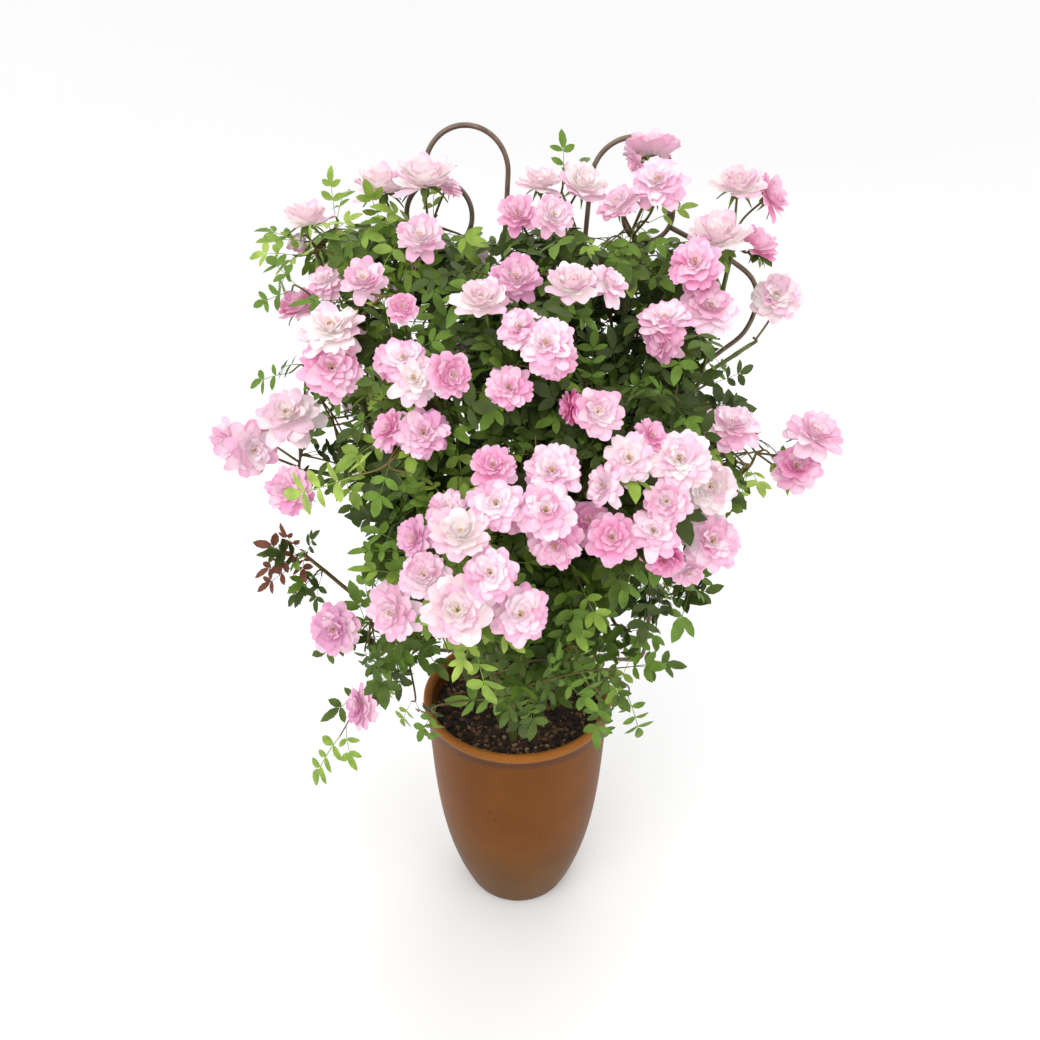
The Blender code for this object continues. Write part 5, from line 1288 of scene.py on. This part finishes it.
def twigPath(plan, carriers, space, chance, blooms):
    # a fine twig from one of the carriers to a free place in the spray's own room
    facing, heart = Vector(plan["facing"]).normalized(), Vector(plan["heart"])
    shortest, longest = growth["twigLength"]
    for _ in range(growth["twigTries"]):
        root = chance.choice(chance.choice(carriers))
        aim = Vector([chance.gauss(0, 1) for _ in range(3)]).normalized()
        aim = (aim + facing * growth["twigFacing"]).normalized()
        end = heart + aim * plan["space"] * chance.uniform(*growth["twigReach"])
        if shortest < (end - root).length < longest and space.crownHolds(end):
            bend = (root + end) / 2 + up * (end - root).length * chance.uniform(*growth["twigArch"])
            path = curveThrough([root, bend, end], growth["twigSteps"])
            if all(clearOfBlooms(point, blooms) for point in path[2:]):
                return path
    return None


def growTwigs(made, plan, carriers, space, chance, blooms):
    facing, tone = Vector(plan["facing"]).normalized(), plan["tone"]
    for _ in range(round(plan["twigs"] * growth["twigShare"])):
        path = twigPath(plan, carriers, space, chance, blooms)
        if path and leavesAlong(made, path, facing, tone, chance, blooms) > 1:
            radii = tapered(len(path), growth["twigRadius"], growth["twigRadius"] * growth["twigTaper"])
            made.runs.append((path, radii, twigSlot(tone)))
            carriers.append(path[2:])


def growSpray(made, name, blooms):
    plan = sprays[name]
    chance = random.Random(name)
    space = Space(name)
    facing, heart = Vector(plan["facing"]).normalized(), Vector(plan["heart"])
    carrier, share = plan["root"]
    start, way = limbs[carrier].foothold(share, heart)
    reach = (heart - start).length
    lead, end = start + way * reach * growth["stemLead"], heart - facing * growth["heartBack"]
    stem = curveThrough([start, lead, end], growth["stemSteps"])
    if plan["tone"] == "bronze":
        thick = growth["bronzeRadius"]
        thin, skin = thick * growth["bronzeTaper"], "twigRed"
    else:
        thick = min(growth["stemRadius"], limbs[carrier].at(share)[2] * growth["stemShare"])
        thin, skin = growth["stalkRadius"], "twigGreen"
    made.runs.append((stem, tapered(len(stem), thick, thin), skinSlot(skin)))
    leavesAlong(made, stem[2:], facing, plan["tone"], chance, blooms, ending=False)
    carriers = [stem[3:]] + growShoots(made, plan, stem, chance, blooms)
    growStalks(made, plan, stem, heart, facing)
    growTwigs(made, plan, carriers, space, chance, blooms)


def growAll():
    made = Growth()
    chance = random.Random("faces")
    faces = []
    for plan in sprays.values():
        facing, heart = Vector(plan["facing"]).normalized(), Vector(plan["heart"])
        for bloom in plan["blooms"]:
            faces.append((Vector(bloom[:3]), bloomAim(bloom, heart, facing), bloom[3], chance.random()))
    for name in sprays:
        growSpray(made, name, faces)
    return made


grown = growAll()
print("grown:", len(grown.runs), "twigs,", len(grown.leaves), "leaves,", len(grown.blooms), "blooms")


def plantSkin(name, colour, look):
    # the look is how rough the skin is, how uneven its colour, and how fine that is
    roughness, uneven, scale = look
    return surface(name, colour, roughness, uneven=uneven, unevenScale=scale, **growth["skinFinish"])


def makeTwigs():
    runs = [(path, radii, False, index) for path, radii, index in grown.runs]
    mesh = tubesMesh("twigs", runs, growth["twigRoundness"])
    skins = [plantSkin(name, colour, growth["twigFinish"]) for name, colour in growth["skins"].items()]
    newPiece("twigs", mesh, skins, [])


makeTwigs()
print("twigs made")


# Leaves: a stalk with pairs of toothed leaflets and one at its end

leaf = {
    "seed": 11,
    "pairs": (2, 2, 1, 2, 3, 2, 2, 1, 2, 3),                # of each kind of leaf
    "pairSize": {1: 1.15, 2: 1.0, 3: 0.88}, "pairSpacing": {1: 0.0, 2: 0.46, 3: 0.34},
    "lastPair": 0.94, "pairStray": 0.03, "pairSpread": (56, 80), "pairRoll": (-0.2, 0.4),
    "sideSize": (0.68, 0.88), "endPlace": 0.99, "lift": 0.002,
    "leaflet": 0.38,            # of the whole leaf's length
    "width": 0.46,              # of the leaflet's length
    "widthVaries": (0.88, 1.15), "outline": (0.75, 0.80, 0.3417),
    "rows": 7, "tooth": 0.05, "fold": 0.24, "foldVaries": (0.6, 1.5), "droop": 0.12,
    "droopVaries": (0.3, 1.8), "twist": 0.12, "stalk": 0.008, "stalkSides": 3, "stalkSteps": 3,
    "rise": 0.10, "bend": (0.05, 0.30), "sway": 0.12, "merge": 0.0008,
    "shade": 0.62, "paintedShadeWeight": 5,              # painted shade: leaves deeper in the crown than this take the deep green more often, by this much
    "partLines": (0.0, 0.01), "finish": (0.48, 0.22, 70),
    "tones": {
        "deep": (64, 80, 34), "dark": (78, 100, 38), "mid": (100, 130, 48), "light": (132, 160, 64),
        "young": (156, 180, 82), "bronze": (112, 66, 48)},
    "mix": {                    # how often each tone turns up, by the spray's own word
        "dark": {"deep": 4, "dark": 5, "mid": 4, "light": 1, "young": 0, "bronze": 0},
        "mid": {"deep": 1, "dark": 4, "mid": 6, "light": 3, "young": 1, "bronze": 0},
        "low": {"deep": 2, "dark": 6, "mid": 5, "light": 1, "young": 0, "bronze": 0},
        "light": {"deep": 0, "dark": 1, "mid": 5, "light": 6, "young": 2, "bronze": 0},
        # The young mix is partly painted light: it holds fresh growth, and its many pale leaves also stand in
        # for light shining through the leaves.
        "young": {"deep": 0, "dark": 0, "mid": 3, "light": 6, "young": 6, "bronze": 0},
        "bronze": {"deep": 1, "dark": 2, "mid": 1, "light": 0, "young": 0, "bronze": 6}},
}


def leafletOutline(along):
    # one at its widest, and nothing at its two ends
    root, point, widest = leaf["outline"]
    return along ** root * (1 - along) ** point / widest if 0 < along < 1 else 0.0


def addLeaflet(bm, chance, length, place):
    rows = leaf["rows"]
    corners = bmesh.ops.create_grid(bm, x_segments=2, y_segments=rows, size=0.5)["verts"]
    fold = leaf["fold"] * chance.uniform(*leaf["foldVaries"])
    droop = leaf["droop"] * chance.uniform(*leaf["droopVaries"])
    twist = chance.uniform(-leaf["twist"], leaf["twist"])
    broad = leaf["width"] * chance.uniform(*leaf["widthVaries"])
    for corner in corners:
        across, along = corner.co.x * 2, corner.co.y + 0.5
        tooth = 1 + leaf["tooth"] * (1 if round(along * rows) % 2 else -1)
        side = across * (broad / 2 * leafletOutline(along) * tooth)
        lift = fold * abs(side) - droop * along ** 2 + twist * side * along
        corner.co = Vector((along, side, lift)) * length
    bmesh.ops.transform(bm, matrix=place, verts=corners)


def addStalk(bm, points):
    ring = bmesh.ops.create_circle(bm, segments=leaf["stalkSides"], radius=leaf["stalk"])["verts"]
    bmesh.ops.rotate(bm, verts=ring, cent=(0, 0, 0), matrix=Matrix.Rotation(math.pi / 2, 3, "Y"))
    bmesh.ops.translate(bm, verts=ring, vec=points[0])
    edges = list({edge for corner in ring for edge in corner.link_edges})
    for before, after in zip(points, points[1:]):
        grownGeometry = bmesh.ops.extrude_edge_only(bm, edges=edges)["geom"]
        fresh = [item for item in grownGeometry if isinstance(item, bmesh.types.BMVert)]
        edges = [item for item in grownGeometry if isinstance(item, bmesh.types.BMEdge)
                 and item.verts[0] in fresh and item.verts[1] in fresh]
        bmesh.ops.translate(bm, verts=fresh, vec=after - before)


def leafTemplate(index):
    # a leaf one unit long
    chance = random.Random(leaf["seed"] + index)
    bm = bmesh.new()
    pairs, stray, lift = leaf["pairs"][index], leaf["pairStray"], leaf["lift"]
    size = leaf["leaflet"] * leaf["pairSize"][pairs]
    stalk = 1 - size
    for i in range(pairs):
        share = leaf["lastPair"] - (pairs - 1 - i) * leaf["pairSpacing"][pairs]
        for hand in (1, -1):
            turn = Matrix.Rotation(hand * math.radians(chance.uniform(*leaf["pairSpread"])), 4, "Z")
            turn = turn @ Matrix.Rotation(hand * chance.uniform(*leaf["pairRoll"]), 4, "X")
            spot = Matrix.Translation((stalk * (share + chance.uniform(-stray, stray)), 0, lift))
            addLeaflet(bm, chance, size * chance.uniform(*leaf["sideSize"]), spot @ turn)
    addLeaflet(bm, chance, size, Matrix.Translation((stalk * leaf["endPlace"], 0, lift)))
    steps = leaf["stalkSteps"]
    addStalk(bm, [Vector((stalk * i / steps, 0, 0)) for i in range(steps + 1)])
    bend = chance.uniform(*leaf["bend"])
    sway = chance.uniform(-leaf["sway"], leaf["sway"])
    for corner in bm.verts:
        x = corner.co.x
        corner.co += Vector((0, sway * x * x, leaf["rise"] * x - bend * x * x))
    bmesh.ops.remove_doubles(bm, verts=bm.verts, dist=leaf["merge"])
    return readTemplate(bm)


def leafTone(chance, word, depth):
    weights = dict(leaf["mix"][word])
    # painted shade: leaves deep in the crown take the deep green more often, and none take the young green
    if depth < leaf["shade"]:
        weights["deep"] += leaf["paintedShadeWeight"]
        weights["young"] = 0
    tones = list(leaf["tones"])
    return chance.choices(range(len(tones)), [weights[tone] for tone in tones])[0]


def makeLeaves():
    chance = random.Random(leaf["seed"])
    shapes = {index: leafTemplate(index) for index in range(len(leaf["pairs"]))}
    materials = [plantSkin("leaf" + tone.capitalize(), colour, leaf["finish"])
                 for tone, colour in leaf["tones"].items()]
    parts = {"front_left": [], "front_right": [], "back": []}
    for spot, along, face, size, word, pairs in grown.leaves:
        kind = chance.choice([index for index, own in enumerate(leaf["pairs"]) if pairs in (0, own)])
        tone = leafTone(chance, word, crownDepth(spot))
        place = placed(spot, along, face, size)
        parts[partOf(spot, leaf["partLines"])].append((kind, place, tone))
    for part, found in parts.items():
        mesh = repeatedMesh("leaves_" + part, batchesOf(shapes, found))
        nodes = [name for name in sprays if sprayPart(name) == part]
        report(newPiece("leaves_" + part, mesh, materials, nodes), len(found), "leaves,")


def sprayPart(name):
    if "back" in name:
        return "back"
    return "front_left" if sprays[name]["heart"][0] < leaf["partLines"][1] else "front_right"


makeLeaves()


# Blooms: full rosettes in rings of rounded petals

bloom = {
    "seed": 5, "variants": 3, "size": 0.58,
    # petals, length, width, height of the root, lean from upright at the root, more lean by the tip, cup
    "kinds": {
        "flat": (
            (11, 0.94, 0.54, -0.16, 80, 24, 0.04),
            (11, 0.84, 0.50, -0.12, 70, 16, 0.08),
            (10, 0.70, 0.44, -0.09, 57, 12, 0.14),
            (8, 0.52, 0.36, -0.06, 42, 8, 0.22),
            (7, 0.36, 0.26, -0.03, 26, 6, 0.30)),
        "bowl": (
            (8, 0.98, 0.56, -0.18, 88, 14, 0.05),
            (10, 0.92, 0.56, -0.16, 78, -32, 0.08),
            (9, 0.78, 0.50, -0.13, 66, -34, 0.12),
            (8, 0.62, 0.44, -0.09, 52, -28, 0.18),
            (6, 0.44, 0.34, -0.06, 34, -14, 0.26)),
        "cup": (
            (9, 0.98, 0.56, -0.20, 76, -8, 0.05),
            (10, 0.92, 0.54, -0.17, 70, -26, 0.08),
            (9, 0.78, 0.50, -0.13, 60, -30, 0.12),
            (8, 0.62, 0.44, -0.09, 48, -26, 0.18),
            (6, 0.44, 0.34, -0.06, 32, -14, 0.26)),
        "round": (
            (9, 0.94, 0.62, -0.20, 90, -12, 0.06),
            (10, 0.86, 0.58, -0.17, 86, -36, 0.10),
            (9, 0.72, 0.50, -0.13, 80, -50, 0.16),
            (9, 0.56, 0.38, -0.10, 68, -50, 0.22),
            (8, 0.40, 0.28, -0.06, 50, -38, 0.30)),
        "loose": (
            (8, 1.00, 0.56, -0.17, 86, 26, 0.06),
            (9, 0.88, 0.54, -0.13, 70, 16, 0.10),
            (8, 0.72, 0.48, -0.09, 58, 0, 0.18),
            (6, 0.52, 0.40, -0.05, 38, 6, 0.26),
            (5, 0.34, 0.28, -0.02, 18, 14, 0.32)),
        "bud": (
            (5, 1.30, 0.90, -0.55, 44, -62, 0.30),
            (4, 1.20, 0.80, -0.50, 36, -58, 0.34))},
    "variesTo": 4, "innerFrom": 3,      # rings whose petals vary in number, and the first small one
    "outerGrid": (6, 6), "innerGrid": (4, 5), "lineSteps": 10,
    "ringTurn": 2.4, "turnStray": 0.28, "leanStray": 6, "bendStray": 11, "tilt": 0.08,
    "widthVaries": (0.88, 1.14), "lengthVaries": (0.86, 1.08),
    "shoulder": (0.62, 0.30, 0.12),     # where a petal is widest, its root's width, and how it narrows
    "notch": 0.055, "notchVaries": (0.0, 1.8), "notchWidth": 2.2, "roundTip": 0.42, "tipSquare": 0.86,
    "ruffle": 0.042, "waves": (2.6, 5.2), "cupRise": 1.2, "rootRadius": 0.05, "hugRadius": 0.30,
    "curl": 0.35, "curlVaries": (-0.3, 1.0), "curlInner": 0.4, "curlStart": 0.7,
    # three shades of each tone, from light to full, with the colours of a petal's heart, face and rim
    "tones": {
        "pale": (((250, 246, 240), (248, 240, 238), (246, 229, 232)),
                 ((250, 241, 235), (247, 230, 233), (245, 213, 223)),
                 ((245, 229, 233), (243, 213, 227), (240, 195, 215))),
        "soft": (((249, 241, 239), (246, 230, 236), (244, 213, 226)),
                 ((246, 231, 233), (243, 213, 227), (240, 195, 215)),
                 ((241, 211, 223), (239, 191, 213), (236, 175, 205))),
        "rose": (((245, 225, 231), (242, 205, 221), (240, 196, 217)),
                 ((241, 203, 217), (239, 182, 209), (238, 186, 212)),
                 ((235, 171, 199), (233, 157, 195), (235, 171, 205))),
        "deep": (((233, 157, 187), (233, 155, 193), (237, 177, 208)),
                 ((219, 111, 157), (225, 123, 175), (235, 163, 201)),
                 ((205, 81, 135), (215, 97, 157), (229, 141, 189))),
        "mauve": (((248, 230, 232), (240, 208, 222), (235, 192, 210)),
                 ((243, 216, 222), (235, 188, 212), (229, 173, 204)),
                 ((232, 184, 206), (225, 166, 200), (219, 155, 192)))},
    # how often a ring's petals take each shade, from the outer ring inwards
    "shading": (
        ((0, 2, 6), (2, 5, 3), (5, 4, 1), (6, 3, 0), (7, 2, 0)),
        ((3, 5, 2), (3, 5, 2), (1, 4, 5), (2, 4, 4), (5, 3, 1)),
        ((3, 5, 2), (4, 4, 2), (4, 4, 2), (4, 4, 1), (5, 3, 1))),
    "backTones": {"pale": 3, "soft": 6, "rose": 4, "deep": 1, "mauve": 1},
    "backKinds": ("flat", "flat", "bowl", "round", "loose"),
    "tintSpans": {"Face": (0.12, 0.52), "Rim": (0.70, 1.00)},
    "veinStretch": (16.0, 1.6, 1.0), "veinDepth": {"To Min": 0.92, "To Max": 1.04},
    "paintedGlow": 0.09,               # painted glow: the petals give off a little light in their own colour, standing in for light that passes through them
    "roughness": 0.65, "shine": 0.15, "sink": 0.06, "partLines": (0.03, 0.02),
    "stamens": 10, "stamenLength": 0.16, "stamenRadius": 0.007, "antherRadius": 0.019,
    "stamenLean": (8, 42), "stamenStray": 0.3, "stamenSeed": 3, "stamenFinish": (0.6, 0.2, 60),
    "stamen": (226, 206, 150), "anther": (196, 144, 84),
    "hipRadius": 0.13, "hipLength": 1.4, "hipPlace": -0.34, "sepalFinish": (0.5, 0.25, 60),
    "sepals": 5, "sepalRoot": (0.08, -0.24), "sepalReach": (0.55, -0.34), "sepalHalf": 0.11,
    "sepalPoint": 0.004, "sepalTaper": 0.8, "sepalFold": 0.05, "sepal": (112, 134, 62),
}


def petalOutline(along):
    shoulder, root, narrowing = bloom["shoulder"]
    if along < shoulder:
        return root + (1 - root) * math.sin(along / shoulder * math.pi / 2)
    return 1 - narrowing * ((along - shoulder) / (1 - shoulder)) ** 2


def petalLine(first, bend, curl, length):
    # the petal's middle line in steps: how far out, how high and how far it leans
    line, out, high = [], 0.0, 0.0
    steps, start = bloom["lineSteps"], bloom["curlStart"]
    for step in range(steps + 1):
        share = step / steps
        lean = first + bend * share + curl * (max(0.0, share - start) / (1 - start)) ** 2
        line.append(Vector((out, high, lean)))
        out += length / steps * math.sin(lean)
        high += length / steps * math.cos(lean)
    return line


def addPetal(bm, chance, ring, turn, inner, shade):
    _, length, width, rootHeight, leanRoot, leanMore, cup = ring
    columns, rows = bloom["innerGrid" if inner else "outerGrid"]
    corners = bmesh.ops.create_grid(bm, x_segments=columns, y_segments=rows, size=0.5)["verts"]
    flat = bm.loops.layers.uv.verify()
    for face in {face for corner in corners for face in corner.link_faces}:
        face.material_index = shade
        for loop in face.loops:
            loop[flat].uv = (loop.vert.co.x + 0.5, loop.vert.co.y + 0.5)
    half = width / 2 * chance.uniform(*bloom["widthVaries"])
    curl = chance.uniform(*bloom["curlVaries"]) * bloom["curl"] * (bloom["curlInner"] if inner else 1)
    first = math.radians(leanRoot + chance.gauss(0, bloom["leanStray"]))
    bend = math.radians(leanMore + chance.gauss(0, bloom["bendStray"]))
    line = petalLine(first, bend, curl, length * chance.uniform(*bloom["lengthVaries"]))
    notch, phase = bloom["notch"] * chance.uniform(*bloom["notchVaries"]), chance.uniform(0, math.tau)
    waves, tilt = chance.uniform(*bloom["waves"]), chance.gauss(0, bloom["tilt"])
    for corner in corners:
        across, along = corner.co.x * 2, corner.co.y + 0.5
        rounding = 1 - math.sqrt(1 - bloom["tipSquare"] * across ** 2)
        reach = along - bloom["roundTip"] * rounding * along ** 2
        reach -= notch * max(0.0, 1 - abs(across) * bloom["notchWidth"]) * along ** 6
        spot = reach * bloom["lineSteps"]
        index = min(int(spot), bloom["lineSteps"] - 1)
        out, high, lean = line[index].lerp(line[index + 1], spot - index)
        side = across * half * petalOutline(along)
        # a petal that stands hugs the ring that it grows in
        hug = side ** 2 / (2 * max(out, bloom["hugRadius"])) * max(0.0, math.cos(lean))
        out += bloom["rootRadius"] - hug
        lift = cup * half * across ** 2 * bloom["cupRise"] * along + tilt * side
        lift += bloom["ruffle"] * math.sin(across * waves + phase) * along ** 3
        corner.co = Vector((out - lift * math.cos(lean), side, rootHeight + high + lift * math.sin(lean)))
    bmesh.ops.rotate(bm, verts=corners, cent=(0, 0, 0), matrix=Matrix.Rotation(turn, 3, "Z"))


def bloomTemplate(kind, variant):
    # a bloom of radius one that looks along Z
    chance = random.Random("%s %d %d" % (kind, variant, bloom["seed"]))
    bm = bmesh.new()
    start, stray = chance.uniform(0, math.tau), bloom["turnStray"]
    for number, ring in enumerate(bloom["kinds"][kind]):
        count = ring[0] + (chance.choice((-1, 0, 0, 1)) if number < bloom["variesTo"] else 0)
        weights = bloom["shading"][variant][number]
        inner = number >= bloom["innerFrom"]
        for i in range(count):
            turn = start + math.tau * (i + chance.uniform(-stray, stray)) / count
            addPetal(bm, chance, ring, turn, inner, chance.choices((0, 1, 2), weights)[0])
        start += bloom["ringTurn"]
    reach = max(math.hypot(corner.co.x, corner.co.y) for corner in bm.verts)
    bmesh.ops.scale(bm, verts=bm.verts, vec=(1 / reach,) * 3)
    return readTemplate(bm)


def stamenTemplate():
    bm = bmesh.new()
    chance, stray = random.Random(bloom["stamenSeed"]), bloom["stamenStray"]
    thin, half = bloom["stamenRadius"], bloom["stamenLength"] / 2
    for i in range(bloom["stamens"]):
        thread = bmesh.ops.create_cone(bm, cap_ends=True, segments=3, radius1=thin, radius2=thin,
                                       depth=half * 2)["verts"]
        knob = bmesh.ops.create_icosphere(bm, subdivisions=1, radius=bloom["antherRadius"])["verts"]
        for face in {face for corner in knob for face in corner.link_faces}:
            face.material_index = 1
        bmesh.ops.translate(bm, verts=knob, vec=(0, 0, half))
        both = thread + knob
        bmesh.ops.translate(bm, verts=both, vec=(0, 0, half))
        lean = Matrix.Rotation(math.radians(chance.uniform(*bloom["stamenLean"])), 3, "Y")
        spin = Matrix.Rotation(math.tau * i / bloom["stamens"] + chance.uniform(-stray, stray), 3, "Z")
        bmesh.ops.rotate(bm, verts=both, cent=(0, 0, 0), matrix=spin @ lean)
    return readTemplate(bm)


def calyxTemplate():
    # the hip and the pointed sepals behind a bloom
    bm = bmesh.new()
    bmesh.ops.create_uvsphere(bm, u_segments=8, v_segments=5, radius=bloom["hipRadius"])
    bmesh.ops.scale(bm, verts=bm.verts, vec=(1, 1, bloom["hipLength"]))
    bmesh.ops.translate(bm, verts=bm.verts, vec=(0, 0, bloom["hipPlace"]))
    (out, high), (reach, fall) = bloom["sepalRoot"], bloom["sepalReach"]
    for i in range(bloom["sepals"]):
        blade = bmesh.ops.create_grid(bm, x_segments=2, y_segments=4, size=0.5)["verts"]
        for corner in blade:
            across, along = corner.co.x * 2, corner.co.y + 0.5
            half = bloom["sepalHalf"] * (1 - along) ** bloom["sepalTaper"] + bloom["sepalPoint"]
            lift = high + fall * along ** 2 + bloom["sepalFold"] * abs(across)
            corner.co = Vector((out + reach * along, across * half, lift))
        turn = Matrix.Rotation(math.tau * i / bloom["sepals"], 3, "Z")
        bmesh.ops.rotate(bm, verts=blade, cent=(0, 0, 0), matrix=turn)
    return readTemplate(bm)


def petalTintGroup():
    # a petal's colour from its heart to its rim, with faint veins that run along it
    group, given, result = newGroup(
        "petalTint", [(part, "NodeSocketColor", (1, 1, 1, 1)) for part in ("Heart", "Face", "Rim")],
        [("Colour", "NodeSocketColor")])
    nodes, links = group.nodes, group.links
    own = addNode(nodes, "UVMap")
    apart = addNode(nodes, "SeparateXYZ")
    links.new(own.outputs["UV"], apart.inputs[0])
    colour = given.outputs["Heart"]
    for part, (low, high) in bloom["tintSpans"].items():
        share = addNode(nodes, "MapRange", {"From Min": low, "From Max": high})
        links.new(apart.outputs["Y"], share.inputs["Value"])
        colour = mixColours(nodes, links, share.outputs["Result"], colour, given.outputs[part])
    stretch = addNode(nodes, "Mapping", {"Scale": bloom["veinStretch"]})
    veins = addNode(nodes, "TexNoise", {"Scale": 1.0, "Detail": 1.0})
    depth = addNode(nodes, "MapRange", {**finish["noiseSpan"], **bloom["veinDepth"]})
    scale = addNode(nodes, "VectorMath", operation="SCALE")
    links.new(own.outputs["UV"], stretch.inputs["Vector"])
    links.new(stretch.outputs["Vector"], veins.inputs["Vector"])
    links.new(veins.outputs["Fac"], depth.inputs["Value"])
    links.new(colour, scale.inputs[0])
    links.new(depth.outputs["Result"], scale.inputs["Scale"])
    links.new(scale.outputs[0], result.inputs["Colour"])
    return group


petalTint = petalTintGroup()


def petalSkin(name, heart, face, rim):
    made = bpy.data.materials.new(name)
    made.use_nodes = True
    nodes, links = made.node_tree.nodes, made.node_tree.links
    shader = nodes["Principled BSDF"]
    tint = addNode(nodes, "Group", {"Heart": srgb(heart), "Face": srgb(face), "Rim": srgb(rim)},
                   node_tree=petalTint)
    links.new(tint.outputs["Colour"], shader.inputs["Base Color"])
    # painted glow: the petal's colour also feeds its emission, which lightens its shaded parts
    links.new(tint.outputs["Colour"], shader.inputs["Emission Color"])
    shader.inputs["Emission Strength"].default_value = bloom["paintedGlow"]
    shader.inputs["Roughness"].default_value = bloom["roughness"]
    shader.inputs["Specular IOR Level"].default_value = bloom["shine"]
    return made


def petalMaterials():
    return [petalSkin("petal%s%d" % (tone.capitalize(), index), *shade)
            for tone, shades in bloom["tones"].items() for index, shade in enumerate(shades)]


def makeBlooms():
    chance = random.Random(bloom["seed"])
    tones, variants = list(bloom["tones"]), range(bloom["variants"])
    shapes = {(kind, variant): bloomTemplate(kind, variant)
              for kind in bloom["kinds"] for variant in variants}
    backTones, backShares = list(bloom["backTones"]), list(bloom["backTones"].values())
    parts = {"front_left": [], "front_right": [], "back": []}
    for spot, look, width, word in grown.blooms:
        backTone = chance.choices(backTones, backShares)[0]
        tone, kind = word.split() if word else (backTone, chance.choice(bloom["backKinds"]))
        turn = look.to_track_quat("Z", "Y").to_matrix()
        turn = turn @ Matrix.Rotation(chance.uniform(0, math.tau), 3, "Z")
        place = Matrix.Translation(spot - look * width * bloom["sink"])
        place = place @ (turn * width * bloom["size"]).to_4x4()
        shape = (kind, chance.randrange(bloom["variants"]))
        shift = tones.index(tone) * len(bloom["tones"][tone])
        parts[partOf(spot, bloom["partLines"])].append((shape, place, shift))
    materials = petalMaterials()
    for part, found in parts.items():
        mesh = repeatedMesh("petals_" + part, batchesOf(shapes, found))
        report(newPiece("petals_" + part, mesh, materials, []), len(found), "blooms,")
    opened = [place for found in parts.values() for kind, place, _ in found if kind[0] != "bud"]
    mesh = repeatedMesh("stamens", [(stamenTemplate(), opened, [0] * len(opened))])
    newPiece("stamens", mesh, [plantSkin("stamenThread", bloom["stamen"], bloom["stamenFinish"]),
                               plantSkin("anther", bloom["anther"], bloom["stamenFinish"])], [])
    places = [place for found in parts.values() for _, place, _ in found]
    mesh = repeatedMesh("calyxes", [(calyxTemplate(), places, [0] * len(places))])
    newPiece("calyxes", mesh, [plantSkin("sepalGreen", bloom["sepal"], bloom["sepalFinish"])], [])


makeBlooms()
print("blooms made")
